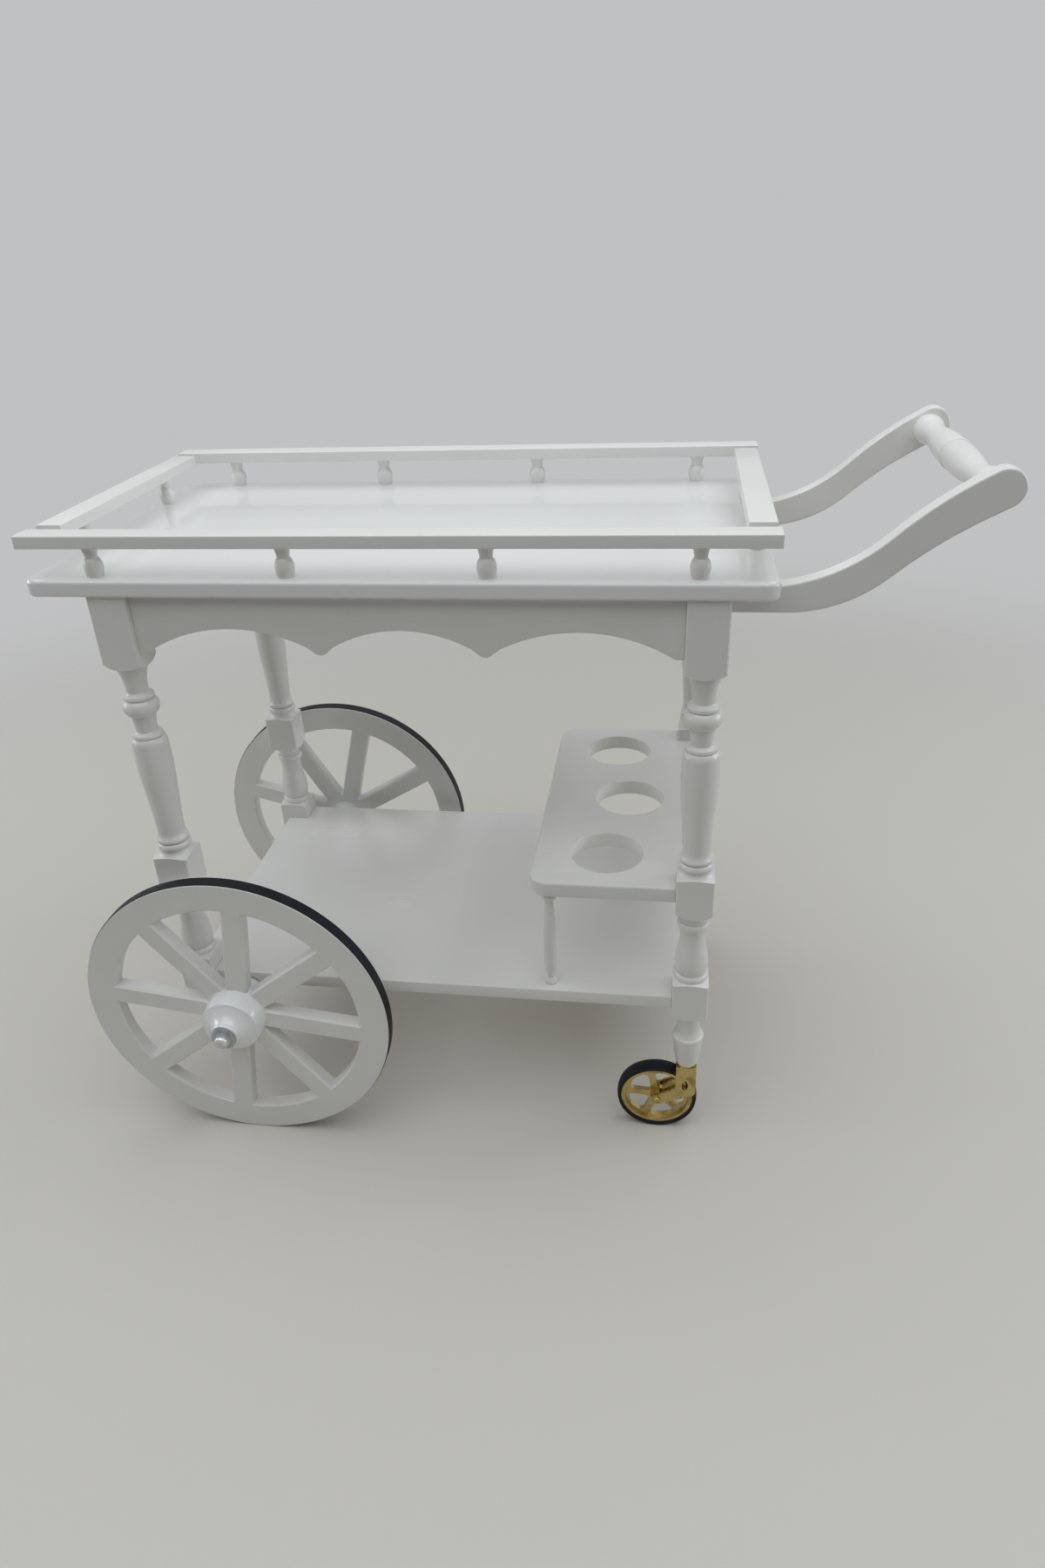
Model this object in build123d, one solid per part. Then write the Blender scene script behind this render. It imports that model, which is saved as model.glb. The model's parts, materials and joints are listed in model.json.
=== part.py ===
from build123d import *
import math
import os

# A wooden serving cart. Millimetres, +Z up, floor at Z = 0.
# Left (-X) is the end with the large wheels, right (+X) the handle end, front is -Y.

# Driving dimensions: tray and gallery
TRAY_LENGTH = 800.0
TRAY_WIDTH = 450.0
TRAY_THICK = 19.0
TRAY_CORNER = 15.0
TRAY_TOP_ROUND = 5.0
TRAY_UNDER_ROUND = 3.0
RAIL_WIDTH = 29.0
RAIL_THICK = 14.0
RAIL_ROUND = 1.5
RAIL_SETBACK = 2.5          # tray edge to the outer face of a long rail
LONG_RAIL_LENGTH = 796.0
SHORT_RAIL_SETBACK = 4.0    # tray end to the outer face of a short rail
SHORT_RAIL_GAP = 16.0       # short rail's end to the long rail beside it
GALLERY_GAP = 33.0          # tray top to the underside of the rails
LONG_SPINDLE_COUNT = 4
LONG_SPINDLE_PITCH = 214.0
SHORT_SPINDLE_COUNT = 2
SHORT_SPINDLE_PITCH = 212.0
SPINDLE_BALL_R = 10.5
SPINDLE_BALL_HEIGHT = 25.5
SPINDLE_FOOT_R = 8.0
SPINDLE_NECK_R = 6.9
SPINDLE_HEAD_R = 9.5

# Driving dimensions: legs
LEG_STOCK = 44.0
LEG_ARRIS = 1.5             # flat planed on the corners of the square stock
LEG_SPAN_X = 642.0
LEG_SPAN_Y = 396.0
LEG_SHIFT = 10.0            # the legs stand this far towards the handle
TOP_BLOCK_HEIGHT = 87.0
MID_BLOCK_HEIGHT = 56.0
LOW_BLOCK_OVER = 24.0       # low block above the shelf
LOW_BLOCK_UNDER = 15.5      # low block below the shelf
SHOULDER_RISE = 2.0         # slope of the lathe's cut over a block, from its corners to its faces
SHOULDER_DROP = 14.0        # rounding that the lathe cuts on the lower corners of a block
SHOULDER_R = 18.5           # turning right under a block
SHOULDER_EASE = 0.5         # lathe cut left inside a block's faces where it leaves them
BEAD_DROP = 41.0            # top block to the bead
BEAD_R = 21.0
BEAD_HEIGHT = 21.0
BEAD_FOOT_R = 14.5
BEAD_HEAD_R = 15.5
COLLAR_R = 17.5             # thin rings over the bead and over the column
COLLAR_HEIGHT = 5.0
NECK_R = 12.5
RING_R = 20.5
RING_HEIGHT = 8.0
COLUMN_DROP = 28.0          # bead to the top of the column
COLUMN_R = 21.0
COLUMN_FOOT_R = 16.6
COLUMN_FOOT_HEIGHT = 16.0
CUP_DROP = 13.5             # mid block to the ring below it
CUP_R = 18.5
VASE_R = 20.0
VASE_NECK_R = 15.5
FOOT_R = 19.5
FOOT_TIP_R = 14.0
FOOT_DROP = 36.0            # low block to the shoulder of the foot
FOOT_NECK = 10.0            # shoulder of the foot to the neck over it
FOOT_NECK_R = 14.5
LEFT_LEG_DROP = 10.0        # left legs end this far below their low block

# Driving dimensions: aprons
APRON_THICK = 20.0
APRON_DEPTH = 68.0
APRON_SETBACK = 8.0         # leg face to apron face
ARCH_RISE = 29.0
MID_ARCH_WIDTH = 180.0
ARCH_EAR = 9.0              # flat end of an apron beside the leg

# Driving dimensions: shelf, rack and heights
SHELF_THICK = 17.5
SHELF_SETBACK = 6.0         # leg face to shelf edge, front and back
SHELF_END_SETBACK = 12.0    # leg face to shelf edge, left and right
BAY_HEIGHT = 515.0          # shelf top to tray underside
RACK_THICK = 20.0
RACK_RISE = 140.5           # shelf top to rack underside
RACK_REACH = 197.0          # leg axis to the free edge of the rack
RACK_SETBACK = 10.0
RACK_CORNER = 24.0
RACK_ROUND = 3.5
HOLE_R = 45.0
HOLE_PITCH = 138.0
HOLE_REACH = 107.0          # leg axis to the outer holes
MID_HOLE_SHIFT = 22.0       # the middle hole stands nearer to the legs
RACK_SPINDLE_INSET_X = 23.0
RACK_SPINDLE_INSET_Y = 13.0
RACK_SPINDLE_R = 8.2
RACK_SPINDLE_NECK_R = 5.0
RACK_SPINDLE_BELLY = 0.36   # height of the widest place, as a share of the whole

# Driving dimensions: handle
ARM_THICK = 20.0
ARM_DEPTH = 28.0
ARM_UNDER_TRAY = 1.0
ARM_TAIL = 80.0             # arm end to the leg axis, under the tray
ARM_ROUND = 2.5
ARM_TOP_START = -21.0       # where the upper curve starts, from the tray's end
ARM_LOW_START = 10.0
ARM_TOP_BEND_R = 185.0
ARM_TOP_BEND = 43.5         # degrees
ARM_TOP_CREST = 400.0
ARM_LOW_BEND_R = 150.0
ARM_LOW_BEND = 42.0         # degrees
ARM_LOW_CREST = 420.0
ARM_END_SLOPE = 28.0        # degrees
BAR_BACKSET = 7.0           # bar axis to the centre of the rounded arm end
BAR_R = 16.6                # beside the centre ring
BAR_BELLY = 2.0             # swell between the ring and a neck
BAR_NECK_R = 12.2
BAR_NECK_REACH = 100.0      # middle of the bar to a neck
BAR_BALL_R = 17.6
BAR_BALL_LENGTH = 28.0
BAR_BALL_FOOT_R = 14.8
BAR_RING_R = 18.0
BAR_RING_LENGTH = 7.0

# Driving dimensions: large wheels and axle
WHEEL_R = 200.0
WHEEL_THICK = 20.0
RIM_WIDTH = 38.0
WHEEL_BEVEL = 2.5           # broken edges of the rim and spokes
TYRE_LIP = 1.5              # rim left standing beside the tyre's groove
TYRE_GROOVE = 4.0
TYRE_PROUD = 1.0
SPOKE_COUNT = 8
SPOKE_WIDTH = 28.0
FRONT_WHEEL_TURN = -7.5     # degrees, of the first spoke above the +X direction
BACK_WHEEL_TURN = -14.7
HUB_R = 40.0
HUB_DRUM = 24.0             # drum beyond the wheel's outer face
HUB_DRUM_END_R = 37.5
HUB_NOSE = 19.0
HUB_NOSE_R = 18.0
HUB_BOSS_R = 24.0
WHEEL_GAP = 21.0            # leg face to the wheel
AXLE_R = 6.0
AXLE_DROP = 13.5            # shelf underside to the axle's centre
AXLE_INSET = 66.0           # left leg axis to the axle
BEAM_WIDTH = 40.0
BEAM_HEIGHT = 30.0
BUSH_WALL = 2.0
WASHER_R = 15.5
WASHER_THICK = 2.0
NUT_R = 11.0
NUT_HEX_HEIGHT = 6.0
NUT_DOME_HEIGHT = 4.5
THREAD_IN_NUT = 7.0

# Driving dimensions: casters
ROLLER_R = 52.5
ROLLER_TYRE_THICK = 5.5
ROLLER_TYRE_WIDTH = 18.0
ROLLER_RIM_WIDTH = 15.0
ROLLER_RIM_THICK = 5.0
ROLLER_WEB = 6.0
ROLLER_HUB_R = 8.5
ROLLER_SPOKES = 5
ROLLER_SPOKE_WIDTH = 9.0
ROLLER_TURN = 13.0          # degrees, of the windows
ROLLER_WINDOW_ROUND = 4.0
ROLLER_LEDGE = 2.0          # web left between a window and the rim or hub
CASTER_TRAIL = 37.0
FORK_CHEEK = 3.0
FORK_CHEEK_WIDTH = 26.0
FORK_SIDE_CLEARANCE = 1.5
FORK_BOSS_R = 7.5
FORK_KNEE = 18.5            # pin to the centre of the rounded knee
FORK_KNEE_R = 9.0
FORK_CURVE = 12.0
FORK_EYE_RISE = 10.0        # knee to the middle of the eye
CROWN_THICK = 9.0
CROWN_CLEARANCE = 4.0       # tyre to the crown over it
STEM_R = 5.0
STEM_LENGTH = 34.0
SOCKET_WALL = 2.5
SOCKET_FLANGE_R = 13.5
SOCKET_FLANGE = 2.5
PIN_R = 3.0
PIN_HEAD_R = 4.5
PIN_HEAD = 2.5

# Clearances
RUN_CLEARANCE = 0.08        # radial, between a shaft and what turns on it
SEAT_CLEARANCE = 0.05       # radial, between pieces that are driven together
END_PLAY = 0.4              # axial, beside a turning hub or fork

# Heights, from the wheels up
axle_z = WHEEL_R + TYRE_PROUD
shelf_under = axle_z + AXLE_DROP
shelf_top = shelf_under + SHELF_THICK
rack_under = shelf_top + RACK_RISE
rack_top = rack_under + RACK_THICK
tray_under = shelf_top + BAY_HEIGHT
tray_top = tray_under + TRAY_THICK
rail_under = tray_top + GALLERY_GAP
crown_reach = CASTER_TRAIL - FORK_CHEEK_WIDTH / 2
crown_under = ROLLER_R + math.sqrt(ROLLER_R ** 2 - crown_reach ** 2) + CROWN_CLEARANCE
crown_top = crown_under + CROWN_THICK
flange_under = crown_top + END_PLAY
foot_z = flange_under + SOCKET_FLANGE

# Positions across and along the cart, from the middle of the tray
leg_y = LEG_SPAN_Y / 2
leg_face_y = leg_y + LEG_STOCK / 2
leg_inner_y = leg_y - LEG_STOCK / 2
left_leg_x = LEG_SHIFT - LEG_SPAN_X / 2
right_leg_x = LEG_SHIFT + LEG_SPAN_X / 2
axle_x = left_leg_x + AXLE_INSET
long_rail_y = TRAY_WIDTH / 2 - RAIL_SETBACK - RAIL_WIDTH / 2
long_rail_inner_y = long_rail_y - RAIL_WIDTH / 2
short_rail_x = TRAY_LENGTH / 2 - SHORT_RAIL_SETBACK - RAIL_WIDTH / 2
short_rail_length = 2 * (long_rail_inner_y - SHORT_RAIL_GAP)
shelf_half_width = leg_face_y - SHELF_SETBACK
wheel_inner_y = leg_face_y + WHEEL_GAP
rim_inner_r = WHEEL_R - RIM_WIDTH
tyre_seat_r = WHEEL_R - TYRE_GROOVE
tyre_width = WHEEL_THICK - 2 * TYRE_LIP
hub_inner_y = shelf_half_width + WASHER_THICK + END_PLAY
hub_outer_y = wheel_inner_y + WHEEL_THICK + HUB_DRUM + HUB_NOSE
arm_outer_y = leg_inner_y
arm_inner_y = arm_outer_y - ARM_THICK

SIDES = {"front": -1, "back": 1}
ENDS = {"left": -1, "right": 1}


def lathe(stations):
    """Solid turned about Z from (height, radius, bulge) stations, lowest first.

    The bulge is how far the line to a station swells outwards; below zero it is hollowed.
    """
    edges = []
    points = [(radius, height) for height, radius, bulge in stations]
    for start, end, station in zip(points, points[1:], stations[1:]):
        bulge = station[2]
        edges.append(SagittaArc(start, end, -bulge) if bulge else Line(start, end))
    low, high = points[0], points[-1]
    edges.append(Polyline(high, (0, high[1]), (0, low[1]), low))
    return revolve(Plane.XZ * make_face(edges), Axis.Z)


def ring(outer, inner, width):
    """Plain ring about Z, standing on the XY plane."""
    return extrude(Circle(outer) - Circle(inner), width)


def plank(x_low, x_high, y_low, y_high, z_low, z_high):
    """Rectangular board between its limits."""
    size = (x_high - x_low, y_high - y_low, z_high - z_low)
    middle = ((x_low + x_high) / 2, (y_low + y_high) / 2, (z_low + z_high) / 2)
    return Pos(*middle) * Box(*size)


def tray():
    outline = RectangleRounded(TRAY_LENGTH, TRAY_WIDTH, TRAY_CORNER)
    board = Pos(0, 0, tray_under) * extrude(outline, TRAY_THICK)
    board = fillet(board.edges().group_by(Axis.Z)[-1], TRAY_TOP_ROUND)
    return fillet(board.edges().group_by(Axis.Z)[0], TRAY_UNDER_ROUND)


def long_rail(side):
    middle = (0, side * long_rail_y, rail_under + RAIL_THICK / 2)
    rail = Box(LONG_RAIL_LENGTH, RAIL_WIDTH, RAIL_THICK)
    return Pos(*middle) * fillet(rail.edges().filter_by(Axis.X), RAIL_ROUND)


def short_rail(end):
    middle = (end * short_rail_x, 0, rail_under + RAIL_THICK / 2)
    rail = Box(RAIL_WIDTH, short_rail_length, RAIL_THICK)
    return Pos(*middle) * fillet(rail.edges().filter_by(Axis.Y), RAIL_ROUND)


def gallery_spindle():
    """Short turned baluster: a long ball standing on the tray, and a neck that flares to the rail."""
    ball_top_r = SPINDLE_NECK_R + 0.4
    swell = SPINDLE_BALL_R - (SPINDLE_FOOT_R + ball_top_r) / 2
    return lathe([
        (0, SPINDLE_FOOT_R, 0),
        (SPINDLE_BALL_HEIGHT, ball_top_r, swell),
        (SPINDLE_BALL_HEIGHT, SPINDLE_NECK_R, 0),
        (GALLERY_GAP, SPINDLE_HEAD_R, -0.8),
    ])


def centred(count, pitch):
    """Positions of a row of pieces, centred on zero."""
    return [(index - (count - 1) / 2) * pitch for index in range(count)]


def long_spindles(side):
    spindle = gallery_spindle()
    places = centred(LONG_SPINDLE_COUNT, LONG_SPINDLE_PITCH)
    return [Pos(x, side * long_rail_y, tray_top) * spindle for x in places]


def short_spindles(end):
    spindle = gallery_spindle()
    places = centred(SHORT_SPINDLE_COUNT, SHORT_SPINDLE_PITCH)
    return [Pos(end * short_rail_x, y, tray_top) * spindle for y in places]


def block_top(height):
    """Shallow cut that the lathe leaves over a square block, up to the turning."""
    return [(height - SHOULDER_RISE, 0.75 * LEG_STOCK, 0), (height, LEG_STOCK / 2 - SHOULDER_EASE, -0.4)]


def block_bottom(height, hollow):
    """Hollow that rises to a square block, and the rounding of the block's lower corners."""
    return [
        (height - 1, SHOULDER_R, hollow),
        (height, LEG_STOCK / 2 - SHOULDER_EASE, 0),
        (height + SHOULDER_DROP, 0.75 * LEG_STOCK, 2.2),
    ]


def collar(height):
    """Thin ring that stands on a wider turning."""
    return [
        (height, COLLAR_R - 1, 0),
        (height + 0.8, COLLAR_R, 0),
        (height + COLLAR_HEIGHT, COLLAR_R - 0.5, 0.4),
    ]


def leg_turning(has_foot):
    """Envelope that the lathe leaves on a leg: wider than the stock where a block stays square."""
    low_under, low_over = shelf_under - LOW_BLOCK_UNDER, shelf_top + LOW_BLOCK_OVER
    rack_middle = (rack_under + rack_top) / 2
    mid_under, mid_over = rack_middle - MID_BLOCK_HEIGHT / 2, rack_middle + MID_BLOCK_HEIGHT / 2
    top_under = tray_under - TOP_BLOCK_HEIGHT

    if has_foot:
        shoulder = low_under - FOOT_DROP
        foot = [
            (foot_z, FOOT_TIP_R, 0),
            (shoulder - 6, FOOT_R, 0.8),
            (shoulder, FOOT_R - 1.5, 1.5),
            (shoulder + FOOT_NECK, FOOT_NECK_R, -0.8),
            *block_bottom(low_under, -0.8),
        ]
    else:
        foot = [(low_under - LEFT_LEG_DROP, SHOULDER_R, 0), *block_bottom(low_under, 0)]

    vase_foot = low_over + 1 + RING_HEIGHT
    vase_belly = vase_foot + 17
    cup_over = mid_under - CUP_DROP
    cup_under = cup_over - RING_HEIGHT
    vase_neck = cup_under - 15
    vase = [
        *block_top(low_over),
        (low_over + 1, RING_R - 0.5, 0),
        (vase_foot, RING_R - 1.5, 1.4),
        (vase_foot, VASE_NECK_R + 1, 0),
        (vase_belly, VASE_R, 1.6),
        ((vase_belly + vase_neck) / 2, (VASE_R + VASE_NECK_R) / 2, 0.5),
        (vase_neck, VASE_NECK_R, -0.5),
        (cup_under, VASE_NECK_R + 1, -0.4),
        (cup_under, CUP_R - 0.5, 0),
        (cup_over, CUP_R - 1, 1.4),
        (cup_over, VASE_NECK_R, 0),
        *block_bottom(mid_under, -1.2),
    ]

    bead_over = top_under - BEAD_DROP
    bead_under = bead_over - BEAD_HEIGHT
    column_top = bead_under - COLUMN_DROP
    column_ring = mid_over + RING_HEIGHT
    column_foot = column_ring + RING_HEIGHT
    column_neck = column_foot + COLUMN_FOOT_HEIGHT
    column = [
        *block_top(mid_over),
        (column_ring - 1, RING_R - 2.5, -0.8),
        (column_ring, RING_R - 1, 0),
        (column_foot, RING_R - 2, 1.4),
        (column_foot, RING_R - 4, 0),
        (column_foot + 1.5, RING_R - 2, 0),
        (column_foot + 7, RING_R - 2, 0.9),
        (column_neck, COLUMN_FOOT_R, -0.8),
        ((column_neck + column_top) / 2, COLUMN_R - 0.8, -0.6),
        (column_top - 8, COLUMN_R, 0.7),
        (column_top, COLLAR_R + 0.5, 0.7),
    ]

    bead = [
        *collar(column_top),
        (column_top + COLLAR_HEIGHT + 3, NECK_R, -0.8),
        (bead_under, BEAD_FOOT_R, -0.4),
        (bead_over, BEAD_HEAD_R, BEAD_R - (BEAD_FOOT_R + BEAD_HEAD_R) / 2),
        *collar(bead_over),
        (bead_over + COLLAR_HEIGHT + 4, NECK_R, -0.8),
        *block_bottom(top_under, -1.6),
        (tray_under, 0.75 * LEG_STOCK, 0),
    ]
    return lathe(foot + vase + column + bead)


def leg(side, end):
    on_casters = end > 0
    turning = leg_turning(on_casters)
    bottom = turning.bounding_box().min.Z
    stock = Pos(0, 0, bottom) * extrude(Rectangle(LEG_STOCK, LEG_STOCK), tray_under - bottom)
    stock = chamfer(stock.edges().filter_by(Axis.Z), LEG_ARRIS)
    shape = stock & turning
    if on_casters:
        bore_r = STEM_R + SOCKET_WALL + SEAT_CLEARANCE
        shape -= Pos(0, 0, foot_z) * extrude(Circle(bore_r), STEM_LENGTH + END_PLAY)
    return Pos(right_leg_x if on_casters else left_leg_x, side * leg_y, 0) * shape


def arch(x_low, x_high, z_low):
    """Upper boundary of a cut-out between two points at one height."""
    return SagittaArc((x_low, z_low), (x_high, z_low), ARCH_RISE)


def apron_face(low, high, breaks):
    """Apron outline from its two ends and the points where its arches meet."""
    bottom, top = tray_under - APRON_DEPTH, tray_under
    stops = [low + ARCH_EAR, *breaks, high - ARCH_EAR]
    edges = [Line((low, bottom), (stops[0], bottom))]
    edges += [arch(start, end, bottom) for start, end in zip(stops, stops[1:])]
    edges.append(Polyline((stops[-1], bottom), (high, bottom), (high, top), (low, top), (low, bottom)))
    return make_face(edges)


def long_apron(side):
    half_block = LEG_STOCK / 2
    tips = [LEG_SHIFT - MID_ARCH_WIDTH / 2, LEG_SHIFT + MID_ARCH_WIDTH / 2]
    face = apron_face(left_leg_x + half_block, right_leg_x - half_block, tips)
    board = extrude(Plane.XZ * face, -APRON_THICK)
    outer = leg_face_y - APRON_SETBACK
    return Pos(0, -outer if side < 0 else outer - APRON_THICK, 0) * board


def end_apron(end):
    face = apron_face(-leg_inner_y, leg_inner_y, [])
    board = extrude(Plane.YZ * face, APRON_THICK)
    if end < 0:
        outer = left_leg_x - LEG_STOCK / 2 + APRON_SETBACK
        return Pos(outer, 0, 0) * board
    outer = right_leg_x + LEG_STOCK / 2 - APRON_SETBACK
    board = Pos(outer - APRON_THICK, 0, 0) * board
    arm_low = tray_under - ARM_UNDER_TRAY - ARM_DEPTH
    for side in SIDES.values():
        y_low, y_high = sorted((side * arm_inner_y, side * arm_outer_y))
        board -= plank(outer - APRON_THICK, outer, y_low, y_high, arm_low, tray_under)
    return board


def leg_notch(x, side, low, high):
    """Square of one leg, cut out of a board that fits round it."""
    half = LEG_STOCK / 2
    return plank(x - half, x + half, side * leg_y - half, side * leg_y + half, low, high)


def lower_shelf():
    half_block = LEG_STOCK / 2
    x_low = left_leg_x - half_block + SHELF_END_SETBACK
    x_high = right_leg_x + half_block - SHELF_END_SETBACK
    board = plank(x_low, x_high, -shelf_half_width, shelf_half_width, shelf_under, shelf_top)
    for side in SIDES.values():
        for x in (left_leg_x, right_leg_x):
            board -= leg_notch(x, side, shelf_under, shelf_top)
    return board


def bottle_rack():
    half_width = leg_face_y - RACK_SETBACK
    x_low = right_leg_x - RACK_REACH
    x_high = right_leg_x + LEG_STOCK / 2 - SHELF_END_SETBACK
    board = plank(x_low, x_high, -half_width, half_width, rack_under, rack_top)
    free_corners = board.edges().filter_by(Axis.Z).group_by(Axis.X)[0]
    board = fillet(free_corners, RACK_CORNER)
    board = fillet(board.edges().group_by(Axis.Z)[-1], RACK_ROUND)
    for side in SIDES.values():
        board -= leg_notch(right_leg_x, side, rack_under, rack_top)
    for y in centred(3, HOLE_PITCH):
        reach = HOLE_REACH - (0 if y else MID_HOLE_SHIFT)
        board -= Pos(right_leg_x - reach, y, rack_under) * extrude(Circle(HOLE_R), RACK_THICK)
    return board


def rack_spindles():
    height = RACK_RISE
    ankle = 10.0
    spindle = lathe([
        (0, RACK_SPINDLE_R - 1, 0),
        (ankle - 4, RACK_SPINDLE_R - 1, 1),
        (ankle, RACK_SPINDLE_NECK_R, 0),
        (RACK_SPINDLE_BELLY * height, RACK_SPINDLE_R, 1.4),
        (height - 14, RACK_SPINDLE_NECK_R + 0.4, 0.6),
        (height - 10, RACK_SPINDLE_R + 0.6, 0),
        (height - 4, RACK_SPINDLE_R + 0.6, 1.2),
        (height, RACK_SPINDLE_NECK_R + 1.5, -0.5),
    ])
    x = right_leg_x - RACK_REACH + RACK_SPINDLE_INSET_X
    y = leg_face_y - RACK_SETBACK - RACK_SPINDLE_INSET_Y
    return [Pos(x, side * y, shelf_top) * spindle for side in SIDES.values()]


def arm_edge(start, bend_r, bend, crest_r):
    """S-curve of one long edge of an arm: a hollow bend, then a gentle crest."""
    hollow = JernArc(start, (1, 0), bend_r, bend)
    crest = JernArc(hollow @ 1, hollow % 1, crest_r, ARM_END_SLOPE - bend)
    return [hollow, crest]


def arm_outline():
    """Side view of a handle arm in X and Z, and the centre of its rounded end."""
    tray_end = TRAY_LENGTH / 2
    top_z = tray_under - ARM_UNDER_TRAY
    low_z = top_z - ARM_DEPTH
    tail_x = right_leg_x - ARM_TAIL
    top_start = (tray_end + ARM_TOP_START, top_z)
    low_start = (tray_end + ARM_LOW_START, low_z)
    upper = arm_edge(top_start, ARM_TOP_BEND_R, ARM_TOP_BEND, ARM_TOP_CREST)
    lower = arm_edge(low_start, ARM_LOW_BEND_R, ARM_LOW_BEND, ARM_LOW_CREST)
    upper_end, lower_end = upper[1] @ 1, lower[1] @ 1
    slope = Vector(1, 0).rotate(Axis.Z, ARM_END_SLOPE)
    lead = (upper_end - lower_end).dot(slope)
    lower_tip = lower_end + slope * lead
    cap = TangentArc(lower_tip, upper_end, tangent=slope)
    back = Polyline(top_start, (tail_x, top_z), (tail_x, low_z), low_start)
    face = make_face([*upper, *lower, Line(lower_end, lower_tip), cap, back])
    return face, (upper_end + lower_tip) * 0.5


def handle_arm(side):
    face, _ = arm_outline()
    board = extrude(Plane.XZ * face, -ARM_THICK)
    rounded = [edge for edge in board.edges() if edge.center().X > TRAY_LENGTH / 2 + ARM_LOW_START]
    long_edges = [edge for edge in rounded if abs((edge % 0.5).Y) < 0.5]
    board = fillet(long_edges, ARM_ROUND)
    return Pos(0, -arm_outer_y if side < 0 else arm_inner_y, 0) * board


def handle_bar():
    """Turned bar: a ball at each end, a neck, and two long bellies that meet at a centre ring."""
    half = arm_inner_y
    ring_half = BAR_RING_LENGTH / 2
    side = [
        (ring_half, BAR_R, 0),
        (BAR_NECK_REACH, BAR_NECK_R, BAR_BELLY),
        (half - BAR_BALL_LENGTH, BAR_BALL_FOOT_R, -0.8),
        (half, BAR_BALL_FOOT_R, BAR_BALL_R - BAR_BALL_FOOT_R),
    ]
    mirrored = [(-height, radius) for height, radius, _ in reversed(side)]
    bulges = [0] + [bulge for _, _, bulge in reversed(side)][:-1]
    stations = [(height, radius, bulge) for (height, radius), bulge in zip(mirrored, bulges)]
    stations += [(-ring_half, BAR_RING_R - 0.8, 0), (ring_half, BAR_RING_R - 0.8, 0.8)] + side
    end_centre = arm_outline()[1]
    place = Pos(end_centre.X - BAR_BACKSET, 0, end_centre.Y - BAR_BACKSET * math.tan(math.radians(ARM_END_SLOPE)))
    return place * Rot(90, 0, 0) * lathe(stations)


def axle_beam():
    half = BEAM_WIDTH / 2
    beam = plank(axle_x - half, axle_x + half, -shelf_half_width, shelf_half_width,
                 shelf_under - BEAM_HEIGHT, shelf_under)
    bore = Cylinder(AXLE_R + SEAT_CLEARANCE, 2 * shelf_half_width)
    return beam - Pos(axle_x, 0, axle_z) * Rot(90, 0, 0) * bore


def nut_seat_y():
    """Distance of the nut's inner face from the middle of the cart."""
    return hub_outer_y + END_PLAY + WASHER_THICK


def axle_rod():
    length = 2 * (nut_seat_y() + THREAD_IN_NUT)
    return Pos(axle_x, 0, axle_z) * Rot(90, 0, 0) * Cylinder(AXLE_R, length)


def on_axle(side, y):
    """Frame on the axle with its Z pointing away from the cart."""
    return Pos(axle_x, side * y, axle_z) * Rot(-90 * side, 0, 0)


def axle_washers():
    washer = ring(WASHER_R, AXLE_R + SEAT_CLEARANCE, WASHER_THICK)
    inner, outer = shelf_half_width, hub_outer_y + END_PLAY
    return [on_axle(side, y) * washer for side in SIDES.values() for y in (inner, outer)]


def axle_nuts():
    hexagon = extrude(RegularPolygon(NUT_R, 6), NUT_HEX_HEIGHT)
    dome_r = NUT_R * math.cos(math.pi / 6) - 0.5
    dome = lathe([(0, dome_r, 0), (NUT_HEX_HEIGHT, dome_r, 0),
                  (NUT_HEX_HEIGHT + NUT_DOME_HEIGHT, dome_r / 3, 2)])
    nut = hexagon + dome
    nut -= extrude(Circle(AXLE_R + SEAT_CLEARANCE), THREAD_IN_NUT + END_PLAY)
    return [on_axle(side, nut_seat_y()) * nut for side in SIDES.values()]


def rim_board():
    """Flat rim about Z: bevelled towards the spokes, grooved for the tyre."""
    rim = ring(WHEEL_R, rim_inner_r, WHEEL_THICK)
    inner_edges = rim.edges().filter_by(GeomType.CIRCLE).sort_by(SortBy.RADIUS)[:2]
    rim = chamfer(inner_edges, WHEEL_BEVEL)
    return rim - Pos(0, 0, TYRE_LIP) * ring(WHEEL_R + TYRE_PROUD, tyre_seat_r, tyre_width)


def wheel_rim(side):
    return on_axle(side, wheel_inner_y) * rim_board()


def wheel_spokes(side):
    """Flat spokes, flush with the rim and mitred into its bevel, their feet round the hub."""
    length = (rim_inner_r + tyre_seat_r) / 2
    spoke = Pos(length / 2, 0, WHEEL_THICK / 2) * Box(length, SPOKE_WIDTH, WHEEL_THICK)
    spoke = chamfer(spoke.edges().filter_by(Axis.X), WHEEL_BEVEL)
    spoke -= rim_board()
    spoke -= extrude(Circle(HUB_R), WHEEL_THICK)
    first = FRONT_WHEEL_TURN if side < 0 else -BACK_WHEEL_TURN
    turn = 360 / SPOKE_COUNT
    place = on_axle(side, wheel_inner_y)
    return [place * Rot(0, 0, first + turn * index) * spoke for index in range(SPOKE_COUNT)]


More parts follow.
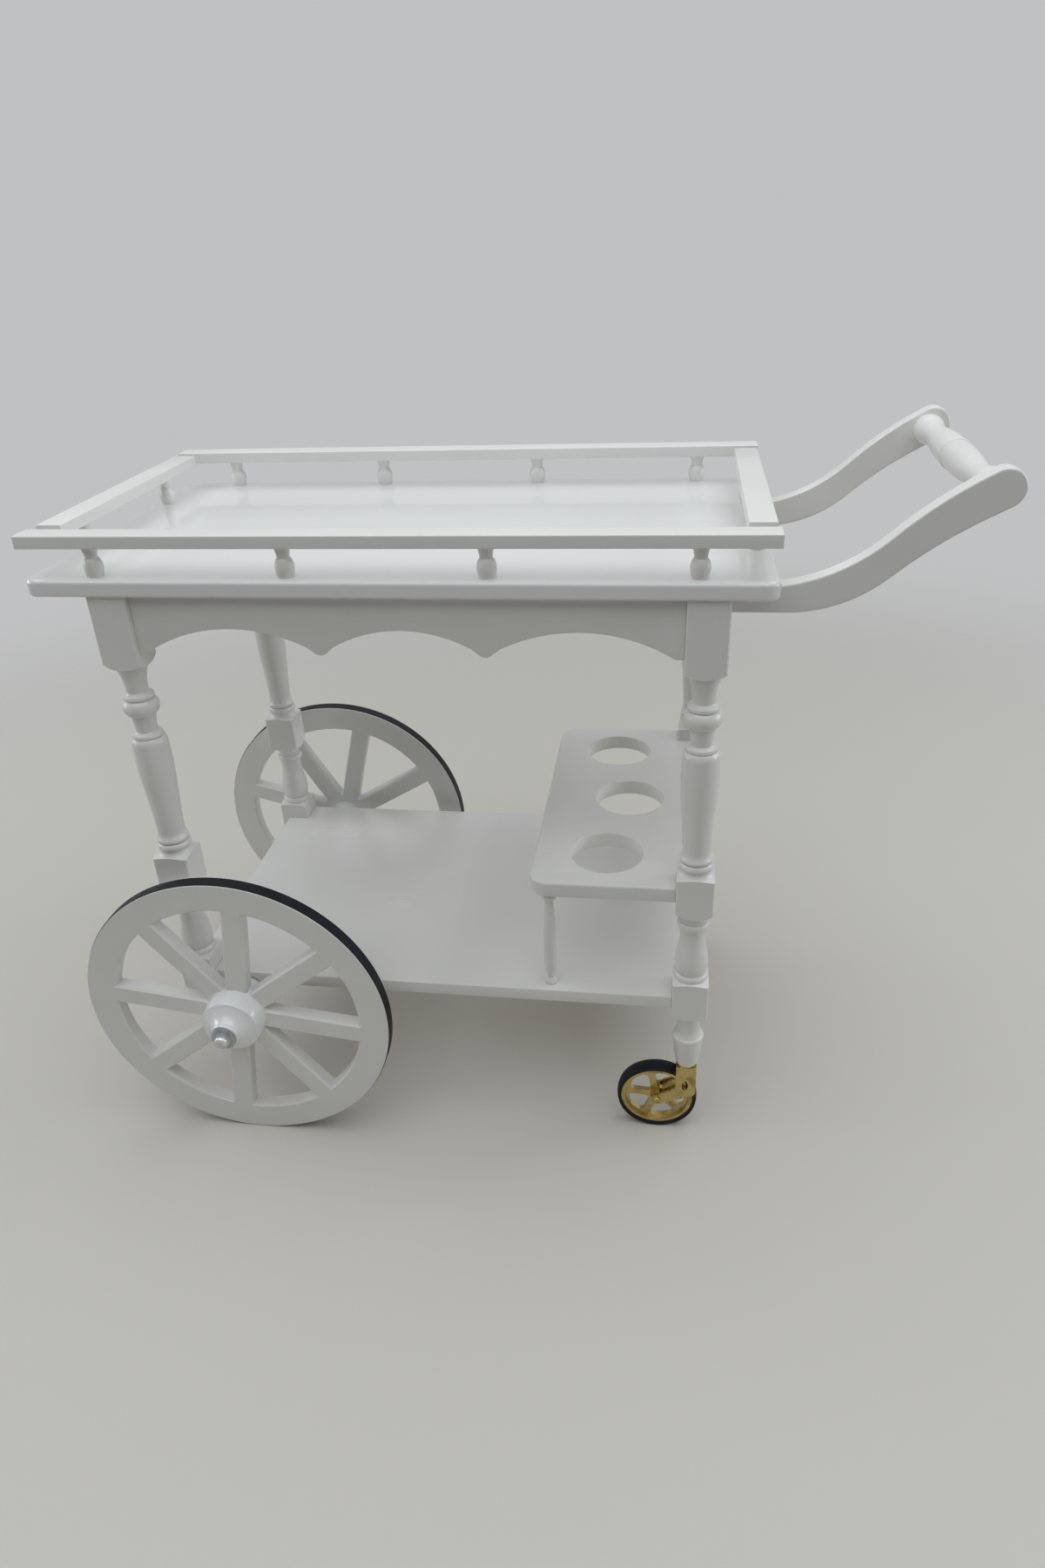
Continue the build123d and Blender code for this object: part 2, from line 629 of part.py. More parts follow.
def wheel_hub(side):
    """Turned hub: inner boss, drum that takes the spokes, and a bell-shaped nose."""
    face = WHEEL_THICK
    drum_end = face + HUB_DRUM
    hub = lathe([
        (hub_inner_y - wheel_inner_y, HUB_BOSS_R, 0),
        (0, HUB_BOSS_R + 2, -1),
        (0, HUB_R, 0),
        (face + 4, HUB_R, 0),
        (drum_end - 2, HUB_DRUM_END_R, 0.4),
        (drum_end, HUB_DRUM_END_R - 2.5, 0.5),
        (drum_end + HUB_NOSE - 5, HUB_NOSE_R + 0.5, -2),
        (drum_end + HUB_NOSE, HUB_NOSE_R, 0.8),
    ])
    bore = AXLE_R + RUN_CLEARANCE + BUSH_WALL + SEAT_CLEARANCE
    length = hub_outer_y - hub_inner_y
    hub -= Pos(0, 0, hub_inner_y - wheel_inner_y) * extrude(Circle(bore), length)
    return on_axle(side, wheel_inner_y) * hub


def wheel_bush(side):
    inner = AXLE_R + RUN_CLEARANCE
    return on_axle(side, hub_inner_y) * ring(inner + BUSH_WALL, inner, hub_outer_y - hub_inner_y)


def wheel_tyre(side):
    """Rubber band in the rim's groove, crowned just above the lips."""
    tyre = ring(WHEEL_R + TYRE_PROUD, tyre_seat_r, tyre_width)
    outer_edges = tyre.edges().filter_by(GeomType.CIRCLE).sort_by(SortBy.RADIUS)[2:]
    return on_axle(side, wheel_inner_y + TYRE_LIP) * chamfer(outer_edges, TYRE_PROUD)


def on_stem(side):
    """Frame on a caster's stem, at floor level."""
    return Pos(right_leg_x, side * leg_y, 0)


def caster_socket(side):
    bore = STEM_R + RUN_CLEARANCE
    sleeve_r = STEM_R + SOCKET_WALL
    socket = ring(SOCKET_FLANGE_R, bore, SOCKET_FLANGE)
    socket += ring(sleeve_r, bore, SOCKET_FLANGE + STEM_LENGTH)
    return on_stem(side) * Pos(0, 0, flange_under) * socket


def caster_stem(side):
    length = CROWN_THICK + END_PLAY + SOCKET_FLANGE + STEM_LENGTH - SOCKET_WALL
    return on_stem(side) * Pos(0, 0, crown_under) * extrude(Circle(STEM_R), length)


def fork_width():
    """Inside width of a caster fork."""
    return ROLLER_TYRE_WIDTH + 2 * FORK_SIDE_CLEARANCE


def caster_fork(side):
    """Crown plate with two horn-shaped cheeks, each with an oval eye under the stem."""
    inner = fork_width() / 2
    half = FORK_CHEEK_WIDTH / 2
    knee_z = ROLLER_R + FORK_KNEE
    knee = Pos(half - FORK_KNEE_R, knee_z) * Circle(FORK_KNEE_R)
    boss = Pos(-CASTER_TRAIL, ROLLER_R) * Circle(FORK_BOSS_R)
    horn = make_hull([*knee.edges(), *boss.edges()])
    plate = Pos(0, (knee_z + crown_top) / 2) * Rectangle(2 * half, crown_top - knee_z)
    outline = plate + horn
    crook = outline.vertices().sort_by_distance((-half, knee_z))[0]
    outline = fillet(crook, FORK_CURVE)
    eye = Pos(-1, knee_z + FORK_EYE_RISE) * Ellipse(4, 8)
    cheek = extrude(Plane.XZ * (outline - eye), FORK_CHEEK)
    fork = Pos(0, -inner, 0) * cheek + Pos(0, inner + FORK_CHEEK, 0) * cheek
    fork += Pos(0, 0, crown_under) * extrude(Rectangle(2 * half, 2 * inner), CROWN_THICK)
    fork -= Pos(0, 0, crown_under) * extrude(Circle(STEM_R + SEAT_CLEARANCE), CROWN_THICK)
    pin_hole = Cylinder(PIN_R + SEAT_CLEARANCE, 2 * (inner + FORK_CHEEK))
    fork -= Pos(-CASTER_TRAIL, 0, ROLLER_R) * Rot(90, 0, 0) * pin_hole
    return on_stem(side) * fork


def on_roller(side):
    """Frame at the middle of a caster's wheel, with Z along its pin towards the front."""
    return on_stem(side) * Pos(-CASTER_TRAIL, 0, ROLLER_R) * Rot(90, 0, 0)


def caster_pin(side):
    reach = fork_width() / 2 + FORK_CHEEK
    pin = lathe([
        (-reach - PIN_HEAD, PIN_R, 0),
        (-reach, PIN_HEAD_R, 1),
        (-reach, PIN_R, 0),
        (reach, PIN_R, 0),
        (reach, PIN_HEAD_R, 0),
        (reach + PIN_HEAD, PIN_R, 1),
    ])
    return on_roller(side) * pin


def roller_window():
    """One opening between two spokes, with rounded corners."""
    inner = ROLLER_HUB_R + ROLLER_LEDGE
    outer = ROLLER_R - ROLLER_TYRE_THICK - ROLLER_RIM_THICK - ROLLER_LEDGE
    half = math.pi / ROLLER_SPOKES

    def corner(radius, side):
        angle = half - math.asin(ROLLER_SPOKE_WIDTH / 2 / radius)
        return radius * math.cos(angle), side * radius * math.sin(angle)

    low_in, high_in = corner(inner, -1), corner(inner, 1)
    low_out, high_out = corner(outer, -1), corner(outer, 1)
    face = make_face([
        Line(low_in, low_out),
        ThreePointArc(low_out, (outer, 0), high_out),
        Line(high_out, high_in),
        ThreePointArc(high_in, (inner, 0), low_in),
    ])
    return fillet(face.vertices().group_by(Axis.X)[-1], ROLLER_WINDOW_ROUND)


def caster_wheel(side):
    """Spoked brass wheel: web with windows, raised rim and hub."""
    outer = ROLLER_R - ROLLER_TYRE_THICK
    rim_inner = outer - ROLLER_RIM_THICK
    rim_half, web_half = ROLLER_RIM_WIDTH / 2, ROLLER_WEB / 2
    hub_half = fork_width() / 2 - END_PLAY
    bore = PIN_R + RUN_CLEARANCE
    upper = [(bore, hub_half), (ROLLER_HUB_R, hub_half), (ROLLER_HUB_R, web_half),
             (rim_inner, web_half), (rim_inner, rim_half), (outer, rim_half)]
    lower = [(radius, -height) for radius, height in reversed(upper)]
    wheel = revolve(Plane.XZ * make_face(Polyline(*upper, *lower, close=True)), Axis.Z)
    turn = 360 / ROLLER_SPOKES
    for index in range(ROLLER_SPOKES):
        window = Rot(0, 0, turn * (index + 0.5) + 90 + ROLLER_TURN) * roller_window()
        wheel -= extrude(window, ROLLER_WEB, both=True)
    return on_roller(side) * wheel


def caster_tyre(side):
    half = ROLLER_TYRE_WIDTH / 2
    inner = ROLLER_R - ROLLER_TYRE_THICK
    shoulder = ROLLER_R - 1.5
    tyre = lathe([(-half, shoulder, 0), (half, shoulder, ROLLER_R - shoulder)])
    tyre -= extrude(Circle(inner), ROLLER_TYRE_WIDTH, both=True)
    return on_roller(side) * tyre


nodes = {
    "tray_top": tray(),
    "lower_shelf": lower_shelf(),
    "bottle_rack": bottle_rack(),
    "bottle_rack_spindles": rack_spindles(),
    "handle_bar": handle_bar(),
    "axle_beam": axle_beam(),
    "axle_rod": axle_rod(),
    "axle_washers": axle_washers(),
    "axle_nuts": axle_nuts(),
}
for end_name, end in ENDS.items():
    nodes[f"gallery_rail_{end_name}"] = short_rail(end)
    nodes[f"gallery_spindles_{end_name}"] = short_spindles(end)
    nodes[f"apron_{end_name}"] = end_apron(end)
for side_name, side in SIDES.items():
    nodes[f"gallery_rail_{side_name}"] = long_rail(side)
    nodes[f"gallery_spindles_{side_name}"] = long_spindles(side)
    nodes[f"apron_{side_name}"] = long_apron(side)
    for end_name, end in ENDS.items():
        nodes[f"leg_{side_name}_{end_name}"] = leg(side, end)
    nodes[f"handle_arm_{side_name}"] = handle_arm(side)
    nodes[f"wheel_{side_name}_rim"] = wheel_rim(side)
    nodes[f"wheel_{side_name}_spokes"] = wheel_spokes(side)
    nodes[f"wheel_{side_name}_hub"] = wheel_hub(side)
    nodes[f"wheel_{side_name}_bush"] = wheel_bush(side)
    nodes[f"wheel_{side_name}_tyre"] = wheel_tyre(side)
    nodes[f"caster_{side_name}_socket"] = caster_socket(side)
    nodes[f"caster_{side_name}_stem"] = caster_stem(side)
    nodes[f"caster_{side_name}_fork"] = caster_fork(side)
    nodes[f"caster_{side_name}_pin"] = caster_pin(side)
    nodes[f"caster_{side_name}_wheel"] = caster_wheel(side)
    nodes[f"caster_{side_name}_tyre"] = caster_tyre(side)

# The origin is on the floor, under the middle of the whole cart.
left_reach = min(-TRAY_LENGTH / 2, axle_x - WHEEL_R - TYRE_PROUD)
right_reach = nodes["handle_arm_front"].bounding_box().max.X
to_origin = Pos(-(left_reach + right_reach) / 2, 0, 0)

os.makedirs("parts", exist_ok=True)
for name, shape in nodes.items():
    solids = shape if isinstance(shape, list) else [shape]
    placed = [to_origin * solid for solid in solids]
    export_step(placed[0] if len(placed) == 1 else Compound(children=placed), f"parts/{name}.step")
print(f"{len(nodes)} nodes, floor to handle, reach {left_reach:.1f} to {right_reach:.1f} from the tray's middle")
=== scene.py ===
# %% [markdown]
# # A white serving cart
# The object is a wooden cart for drinks and dishes: a railed tray, a lower shelf with a bottle rack,
# turned legs, two large spoked wheels, two small brass casters and a push handle.
# Its solids come ready from CAD, at their real size in metres. This lesson gives them their finishes,
# replaces a few of them with better shaped pieces, and sets up the camera and the light.

# %% Load the cart
import json
import math

import bmesh
import bpy
from mathutils import Matrix, Vector


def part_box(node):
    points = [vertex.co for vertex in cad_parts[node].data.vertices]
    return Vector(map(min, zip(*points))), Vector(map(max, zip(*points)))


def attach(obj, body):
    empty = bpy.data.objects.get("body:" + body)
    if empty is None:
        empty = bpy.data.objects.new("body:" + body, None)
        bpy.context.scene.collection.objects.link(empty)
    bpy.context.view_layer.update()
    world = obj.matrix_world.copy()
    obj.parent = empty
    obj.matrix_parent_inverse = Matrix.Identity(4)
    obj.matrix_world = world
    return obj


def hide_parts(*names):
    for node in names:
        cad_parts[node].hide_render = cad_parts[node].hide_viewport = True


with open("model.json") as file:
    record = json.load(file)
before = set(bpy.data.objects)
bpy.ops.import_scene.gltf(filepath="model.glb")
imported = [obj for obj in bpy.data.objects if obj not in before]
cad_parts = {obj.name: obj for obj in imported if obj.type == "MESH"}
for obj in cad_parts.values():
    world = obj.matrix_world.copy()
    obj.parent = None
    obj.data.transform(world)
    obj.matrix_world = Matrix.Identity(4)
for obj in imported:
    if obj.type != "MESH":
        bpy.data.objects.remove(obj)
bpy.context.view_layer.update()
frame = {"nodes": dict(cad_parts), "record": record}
nodes = frame["nodes"]
record = frame["record"]
body_of_node = {node: body for body, members in record["behaviour"]["bodies"].items() for node in members}
scene = bpy.context.scene

# %% [markdown]
# ## The camera
# The photograph was taken from close by with a short lens, from above the tray and a little to the
# right of its middle, so the near wheel looks large and the upright legs lean apart.
# A camera can be aimed with an empty and a constraint, but then its roll can't be set.
# Here its three axes are worked out from the angles at which it was held, and written as one matrix.

# %% Camera at the photographer's place
FRAME_HEIGHT_PX = 1800
FOCAL_PX = 1180.3
SENSOR = 36.0
EYE = Vector((0.2064, -1.2095, 1.0901))
YAW, PITCH, ROLL = -0.160, -0.508, -0.047


def camera_matrix(eye, yaw, pitch, roll):
    """Pose of a camera that is turned, then tilted, then rolled, with angles in radians."""
    ahead = Vector((math.sin(yaw) * math.cos(pitch), math.cos(yaw) * math.cos(pitch), math.sin(pitch)))
    level = Vector((math.cos(yaw), -math.sin(yaw), 0))
    above = level.cross(ahead)
    right = level * math.cos(roll) + above * math.sin(roll)
    upward = above * math.cos(roll) - level * math.sin(roll)
    pose = Matrix((right, upward, -ahead)).transposed().to_4x4()
    pose.translation = eye
    return pose


lens = bpy.data.cameras.new("photographer")
lens.sensor_fit = "VERTICAL"
lens.sensor_height = SENSOR
lens.lens = SENSOR * FOCAL_PX / FRAME_HEIGHT_PX
camera = bpy.data.objects.new("photographer", lens)
camera.matrix_world = camera_matrix(EYE, YAW, PITCH, ROLL)
scene.collection.objects.link(camera)
scene.camera = camera
print(f"Camera with a {lens.lens:.1f} mm lens, {math.degrees(-PITCH):.0f} degrees downwards")

# %% [markdown]
# ## Helpers for node trees
# Every finish below is a tree of nodes. It could be wired one link at a time, but then the cells would
# be long and hard to read. A few small helpers keep them short: one adds a node and fills its sockets
# by name, three do sums with it, and one makes a shader group with named inputs and outputs.


# %% Node helpers
def add(tree, kind, settings=None, **values):
    """New node, with attributes from settings and sockets from values or from other nodes' outputs.

    A value goes to the socket with that label, or with that number where the name is like _2.
    """
    node = tree.nodes.new(kind)
    for name, value in (settings or {}).items():
        setattr(node, name, value)
    for name, value in values.items():
        socket = node.inputs[int(name[1:])] if name[0] == "_" else node.inputs[name.replace("_", " ")]
        if isinstance(value, bpy.types.NodeSocket):
            tree.links.new(value, socket)
        else:
            socket.default_value = value
    return node


def math_node(tree, operation, first, second=0.0):
    """Output of a Math node."""
    return add(tree, "ShaderNodeMath", {"operation": operation}, _0=first, _1=second).outputs[0]


def weigh(tree, first, second, share):
    """Sum of two values, in which the first has the given share."""
    return math_node(tree, "ADD", math_node(tree, "MULTIPLY", first, share),
                     math_node(tree, "MULTIPLY", second, 1 - share))


def ramp(tree, value, start, end, course="SMOOTHSTEP", **ends):
    """Mask that goes from 0 to 1, or between the given ends, while the value goes from start to end."""
    return add(tree, "ShaderNodeMapRange", {"interpolation_type": course}, Value=value,
               From_Min=start, From_Max=end, **ends).outputs[0]


def shader_group(name, inputs, outputs):
    """Empty shader group, with its input and output nodes."""
    tree = bpy.data.node_groups.new(name, "ShaderNodeTree")
    for label, kind, value in inputs:
        socket = tree.interface.new_socket(label, in_out="INPUT", socket_type=kind)
        socket.default_value = value
    for label in outputs:
        tree.interface.new_socket(label, in_out="OUTPUT", socket_type="NodeSocketFloat")
    return tree, tree.nodes.new("NodeGroupInput"), tree.nodes.new("NodeGroupOutput")


print("Node helpers:", ", ".join(helper.__name__ for helper in (add, math_node, weigh, ramp, shader_group)))

# %% [markdown]
# ## What all the paint has in common
# Sprayed lacquer is never quite flat. The wood below swells a little along its grain, the droplets
# leave a fine orange peel, and the film is thicker in some places than in others.
# An image could hold this, but it would stretch on the turned legs. Noise on object coordinates fills
# space evenly, so every board and every turning gets the same scale. The grain is the same noise,
# squeezed across the grain by a vector that each material sets for its own board.

# %% Shader group: sprayed lacquer
CLOUD_SCALE = 6.0
CLOUD_SHARE = 0.9
PEEL_SHARE = 0.92
TONE_RANGE = (0.2, 0.8)


def make_sprayed_lacquer():
    tree, given, result = shader_group(
        "sprayed_lacquer",
        [("Grain", "NodeSocketVector", (8, 200, 200)), ("Peel Scale", "NodeSocketFloat", 420.0)],
        ["Tone", "Height"],
    )
    place = add(tree, "ShaderNodeTexCoord").outputs["Object"]
    along = add(tree, "ShaderNodeVectorMath", {"operation": "MULTIPLY"}, _0=place, _1=given.outputs["Grain"])
    grain = add(tree, "ShaderNodeTexNoise", Vector=along.outputs[0], Scale=1.0, Detail=3.0, Roughness=0.6)
    peel = add(tree, "ShaderNodeTexNoise", Vector=place, Scale=given.outputs["Peel Scale"], Detail=1.0)
    cloud = add(tree, "ShaderNodeTexNoise", Vector=place, Scale=CLOUD_SCALE, Detail=2.0)
    film = weigh(tree, cloud.outputs[0], grain.outputs[0], CLOUD_SHARE)
    tree.links.new(ramp(tree, film, *TONE_RANGE), result.inputs["Tone"])
    height = weigh(tree, peel.outputs[0], grain.outputs[0], PEEL_SHARE)
    tree.links.new(height, result.inputs["Height"])
    return tree


sprayed_lacquer = make_sprayed_lacquer()
print("Group", sprayed_lacquer.name, "with", len(sprayed_lacquer.nodes), "nodes")

# %% [markdown]
# ## What use leaves behind
# Hands, cloths and floors leave soft patches on paint, brass, rubber and steel alike, and fine scratches
# on the metals. Painting them by hand would be slow and would show on one side only. Two noises do it:
# a broad one, cut off at a threshold, gives the patches, and a thin, stretched one gives the scratches.

# %% Shader group: marks of use
PATCH_START, PATCH_EDGE = 0.95, 0.22
SCRATCH_TILT, SCRATCH_STRETCH = (0.4, 0.7, 0.3), (1, 14, 14)
SCRATCH_RANGE = (0.64, 0.72)


def make_marks_of_use():
    tree, given, result = shader_group(
        "marks_of_use",
        [("Patch Scale", "NodeSocketFloat", 30.0), ("Coverage", "NodeSocketFloat", 0.5),
         ("Scratch Scale", "NodeSocketFloat", 60.0)],
        ["Patches", "Scratches"],
    )
    place = add(tree, "ShaderNodeTexCoord").outputs["Object"]
    broad = add(tree, "ShaderNodeTexNoise", Vector=place, Scale=given.outputs["Patch Scale"],
                Detail=5.0, Roughness=0.62)
    start = math_node(tree, "SUBTRACT", PATCH_START, given.outputs["Coverage"])
    patches = ramp(tree, broad.outputs[0], start, math_node(tree, "ADD", start, PATCH_EDGE))
    tilted = add(tree, "ShaderNodeMapping", Vector=place, Rotation=SCRATCH_TILT, Scale=SCRATCH_STRETCH)
    thin = add(tree, "ShaderNodeTexNoise", Vector=tilted.outputs[0], Scale=given.outputs["Scratch Scale"],
               Detail=2.0)
    scratches = ramp(tree, thin.outputs[0], *SCRATCH_RANGE, "LINEAR")
    tree.links.new(patches, result.inputs["Patches"])
    tree.links.new(scratches, result.inputs["Scratches"])
    return tree


marks_of_use = make_marks_of_use()
print("Group", marks_of_use.name, "with", len(marks_of_use.nodes), "nodes")

# %% [markdown]
# ## Dust near the floor
# Whatever stands low on a cart picks up dust, such as the feet of the legs and the casters.
# A mask by height does this, since the object coordinate Z is the height above the floor.
# It is broken up with noise, so that it doesn't end in a straight line.

# %% Shader group: dust near the floor
CRUMB_SCALE = 90.0
CRUMB_RANGE = (0.35, 0.7)


def make_floor_dust():
    tree, given, result = shader_group("floor_dust", [("Reach", "NodeSocketFloat", 0.2)], ["Dust"])
    place = add(tree, "ShaderNodeTexCoord").outputs["Object"]
    height = add(tree, "ShaderNodeSeparateXYZ", Vector=place).outputs["Z"]
    fade = ramp(tree, height, 0.0, given.outputs["Reach"], To_Min=1.0, To_Max=0.0)
    crumbs = add(tree, "ShaderNodeTexNoise", Vector=place, Scale=CRUMB_SCALE, Detail=6.0, Roughness=0.7)
    broken = ramp(tree, crumbs.outputs[0], *CRUMB_RANGE, "LINEAR")
    tree.links.new(math_node(tree, "MULTIPLY", fade, broken), result.inputs["Dust"])
    return tree


floor_dust = make_floor_dust()
print("Group", floor_dust.name, "with", len(floor_dust.nodes), "nodes")

# %% [markdown]
# ## Helpers for materials
# Each finish is one Principled shader, and the groups above only drive its colour, roughness and normal.
# Mixing whole shaders would also work, but one shader per finish is easier to read and to hand on.
# These helpers start a material, place a group in it, turn a mask into a colour or a value, lay dust on
# a colour and give the surface its bumps.

# %% Material helpers
DUST = (0.500, 0.480, 0.440)


def new_material(name):
    """Material with a bare Principled shader."""
    material = bpy.data.materials.new(name)
    material.use_nodes = True
    return material, material.node_tree, material.node_tree.nodes["Principled BSDF"]


def use_group(tree, group, **values):
    """A placed shader group with its own values."""
    return add(tree, "ShaderNodeGroup", {"node_tree": group}, **values)


def blend_colour(tree, mask, first, second):
    """Colour that goes from first to second where the mask goes from 0 to 1."""
    low, high = (colour if isinstance(colour, bpy.types.NodeSocket) else (*colour, 1)
                 for colour in (first, second))
    # The colours of a Mix node are its sockets 6 and 7, and the mixed colour is its third output.
    return add(tree, "ShaderNodeMix", {"data_type": "RGBA"}, Factor=mask, _6=low, _7=high).outputs[2]


def spread(tree, mask, low, high):
    """Value that goes from low to high with the mask."""
    return ramp(tree, mask, 0.0, 1.0, "LINEAR", To_Min=low, To_Max=high)


def dusty(tree, colour, reach, amount):
    """Colour with dust on it near the floor, and the mask of that dust."""
    dust = use_group(tree, floor_dust, Reach=reach).outputs["Dust"]
    mask = math_node(tree, "MULTIPLY", dust, amount)
    return blend_colour(tree, mask, colour, DUST), mask


def bumpy(tree, shader, height, depth):
    """Bumps of a given depth on the shader's surface."""
    bump = add(tree, "ShaderNodeBump", Height=height, Distance=depth)
    tree.links.new(bump.outputs[0], shader.inputs["Normal"])


print("Material helpers:", ", ".join(
    helper.__name__ for helper in (new_material, use_group, blend_colour, spread, dusty, bumpy)))

# %% [markdown]
# ## White lacquer
# All the wood is sprayed white. The real cart has a semi-gloss film on its boards and turnings, and a
# higher gloss on the tray and the wheel hubs, where the rails and the light are mirrored. The hubs are
# also given a cooler, brighter white than the rest, as a painted highlight, and the tray a slightly
# whiter one, as painted light from above.
# One function makes all of these, with the direction of the grain, the roughness, the white, the clear
# coat and the reach of the dust as its values. Even the brightest white stays below 0.9, as real paint
# does, so that light can shape it.

# %% Lacquer materials
SOFT_WHITE = (0.800, 0.794, 0.775), (0.840, 0.833, 0.815)
# The tray's slightly whiter, cooler white is painted light from above on the same white lacquer.
TRAY_TOPLIT_WHITE = (0.815, 0.814, 0.808), (0.845, 0.844, 0.838)
# The hubs' cooler, brighter white is a painted highlight on the same white lacquer.
HUB_HIGHLIGHT_WHITE = (0.840, 0.850, 0.865), (0.880, 0.885, 0.895)
ALONG_X, ALONG_Y, ALONG_Z = (9, 230, 230), (230, 9, 230), (230, 230, 9)
PEEL_DEPTH = 0.00002
PATCH_DULLING = 0.2
DULL_FACTOR = 1.3
COAT_FACTOR = 0.5
DUST_ON_PAINT = 0.35


def lacquer(name, grain, rough, white=SOFT_WHITE, coat=0.25, dust_reach=0.0):
    material, tree, shader = new_material(name)
    film = use_group(tree, sprayed_lacquer, Grain=grain)
    marks = use_group(tree, marks_of_use, Patch_Scale=14.0, Coverage=0.32)
    colour = blend_colour(tree, film.outputs["Tone"], *white)
    if dust_reach:
        colour, _ = dusty(tree, colour, dust_reach, DUST_ON_PAINT)
    tree.links.new(colour, shader.inputs["Base Color"])
    dulling = math_node(tree, "MULTIPLY", marks.outputs["Patches"], PATCH_DULLING)
    sheen = math_node(tree, "ADD", film.outputs["Tone"], dulling)
    tree.links.new(spread(tree, sheen, rough, rough * DULL_FACTOR), shader.inputs["Roughness"])
    bumpy(tree, shader, film.outputs["Height"], PEEL_DEPTH)
    shader.inputs["Coat Weight"].default_value = coat
    shader.inputs["Coat Roughness"].default_value = rough * COAT_FACTOR
    return material


lacquer_long = lacquer("lacquer_long", ALONG_X, 0.28)
lacquer_cross = lacquer("lacquer_cross", ALONG_Y, 0.28)
lacquer_leg = lacquer("lacquer_leg", ALONG_Z, 0.26, dust_reach=0.22)
lacquer_wheel = lacquer("lacquer_wheel", ALONG_Z, 0.34)
lacquer_shelf = lacquer("lacquer_shelf", ALONG_X, 0.22, coat=0.1)
lacquer_tray = lacquer("lacquer_tray", ALONG_X, 0.035, white=TRAY_TOPLIT_WHITE, coat=0.6)
lacquer_hub = lacquer("lacquer_hub", ALONG_Y, 0.14, white=HUB_HIGHLIGHT_WHITE, coat=1.0)
print("Seven lacquers, from tray gloss to wheel satin")

# %% [markdown]
# ## Brass, rubber and steel
# The casters are polished brass that has dulled in patches, with fine scratches from cleaning.
# The tyres are black rubber strip, greyed by the floor. The axle's washers and domed nuts are plated
# steel, and the washers are given a darker, rougher copy of it.
# Each could have a noise of its own, but they all take their patches from the same group as the paint,
# at scales of their own, so that the whole cart looks equally old.

# %% Metal and rubber materials
BRASS_BRIGHT, BRASS_DULL = (0.550, 0.420, 0.170), (0.330, 0.245, 0.085)
STEEL_BRIGHT, STEEL_DULL = (0.660, 0.670, 0.680), (0.470, 0.475, 0.480)
WASHER_BRIGHT, WASHER_DULL = (0.440, 0.445, 0.450), (0.290, 0.290, 0.295)
RUBBER_BLACK, RUBBER_WORN = (0.007, 0.008, 0.012), (0.017, 0.018, 0.023)
METAL_WEAR = 0.18
SCRATCH_DEPTH = 0.00001
DUST_ON_METAL = 0.4
RUBBER_ROUGHNESS = (0.5, 0.72)
GRIT_SCALE, GRIT_DEPTH = 900.0, 0.00015


def metal(name, bright, dull, rough, dust_reach=0.0):
    material, tree, shader = new_material(name)
    marks = use_group(tree, marks_of_use, Patch_Scale=55.0, Coverage=0.5, Scratch_Scale=110.0)
    colour = blend_colour(tree, marks.outputs["Patches"], bright, dull)
    wear = math_node(tree, "MAXIMUM", marks.outputs["Patches"], marks.outputs["Scratches"])
    if dust_reach:
        colour, dust = dusty(tree, colour, dust_reach, DUST_ON_METAL)
        wear = math_node(tree, "MAXIMUM", wear, dust)
    tree.links.new(colour, shader.inputs["Base Color"])
    tree.links.new(spread(tree, wear, rough, rough + METAL_WEAR), shader.inputs["Roughness"])
    bumpy(tree, shader, marks.outputs["Scratches"], SCRATCH_DEPTH)
    shader.inputs["Metallic"].default_value = 1.0
    return material


def rubber(name):
    material, tree, shader = new_material(name)
    patches = use_group(tree, marks_of_use, Patch_Scale=35.0, Coverage=0.5).outputs["Patches"]
    tree.links.new(blend_colour(tree, patches, RUBBER_BLACK, RUBBER_WORN), shader.inputs["Base Color"])
    tree.links.new(spread(tree, patches, *RUBBER_ROUGHNESS), shader.inputs["Roughness"])
    place = add(tree, "ShaderNodeTexCoord").outputs["Object"]
    grit = add(tree, "ShaderNodeTexNoise", Vector=place, Scale=GRIT_SCALE, Detail=2.0)
    bumpy(tree, shader, grit.outputs[0], GRIT_DEPTH)
    shader.inputs["Specular IOR Level"].default_value = 0.2
    return material


brass = metal("brass_caster", BRASS_BRIGHT, BRASS_DULL, 0.17, dust_reach=0.06)
steel = metal("plated_steel", STEEL_BRIGHT, STEEL_DULL, 0.34)
washer_steel = metal("washer_steel", WASHER_BRIGHT, WASHER_DULL, 0.42)
tyre_rubber = rubber("tyre_rubber")
print("Brass, two steels and rubber")

# %% [markdown]
# ## Finishes on the CAD pieces
# Most solids already have the right shape, with smooth normals, so they only need their material.
# It could be set piece by piece, but a rule by name is shorter: boards that run along the cart, boards
# that run across it, upright turnings, wheels, and metal. Later rules in the list win over earlier ones.

# %% Give every CAD node its material
FINISHES = [
    ("", lacquer_long),
    ("gallery_rail_left", lacquer_cross),
    ("gallery_rail_right", lacquer_cross),
    ("apron_left", lacquer_cross),
    ("apron_right", lacquer_cross),
    ("handle_bar", lacquer_cross),
    ("axle_beam", lacquer_cross),
    ("bottle_rack", lacquer_cross),
    ("bottle_rack_spindles", lacquer_leg),
    ("lower_shelf", lacquer_shelf),
    ("gallery_spindles", lacquer_leg),
    ("leg_", lacquer_leg),
    ("tray_top", lacquer_tray),
    ("wheel_", lacquer_wheel),
    ("caster_", brass),
    ("axle_rod", steel),
    ("axle_nuts", steel),
    ("axle_washers", washer_steel),
]
ENDINGS = [("_hub", lacquer_hub), ("_bush", steel), ("_tyre", tyre_rubber)]


def finish_of(node):
    """Material of a node, by the last rule that fits its name."""
    fits = [material for start, material in FINISHES if node.startswith(start)]
    fits += [material for ending, material in ENDINGS if node.endswith(ending)]
    return fits[-1]


for name, piece in nodes.items():
    piece.data.materials.clear()
    piece.data.materials.append(finish_of(name))
print(len({finish_of(name) for name in nodes}), "finishes on", len(nodes), "nodes")

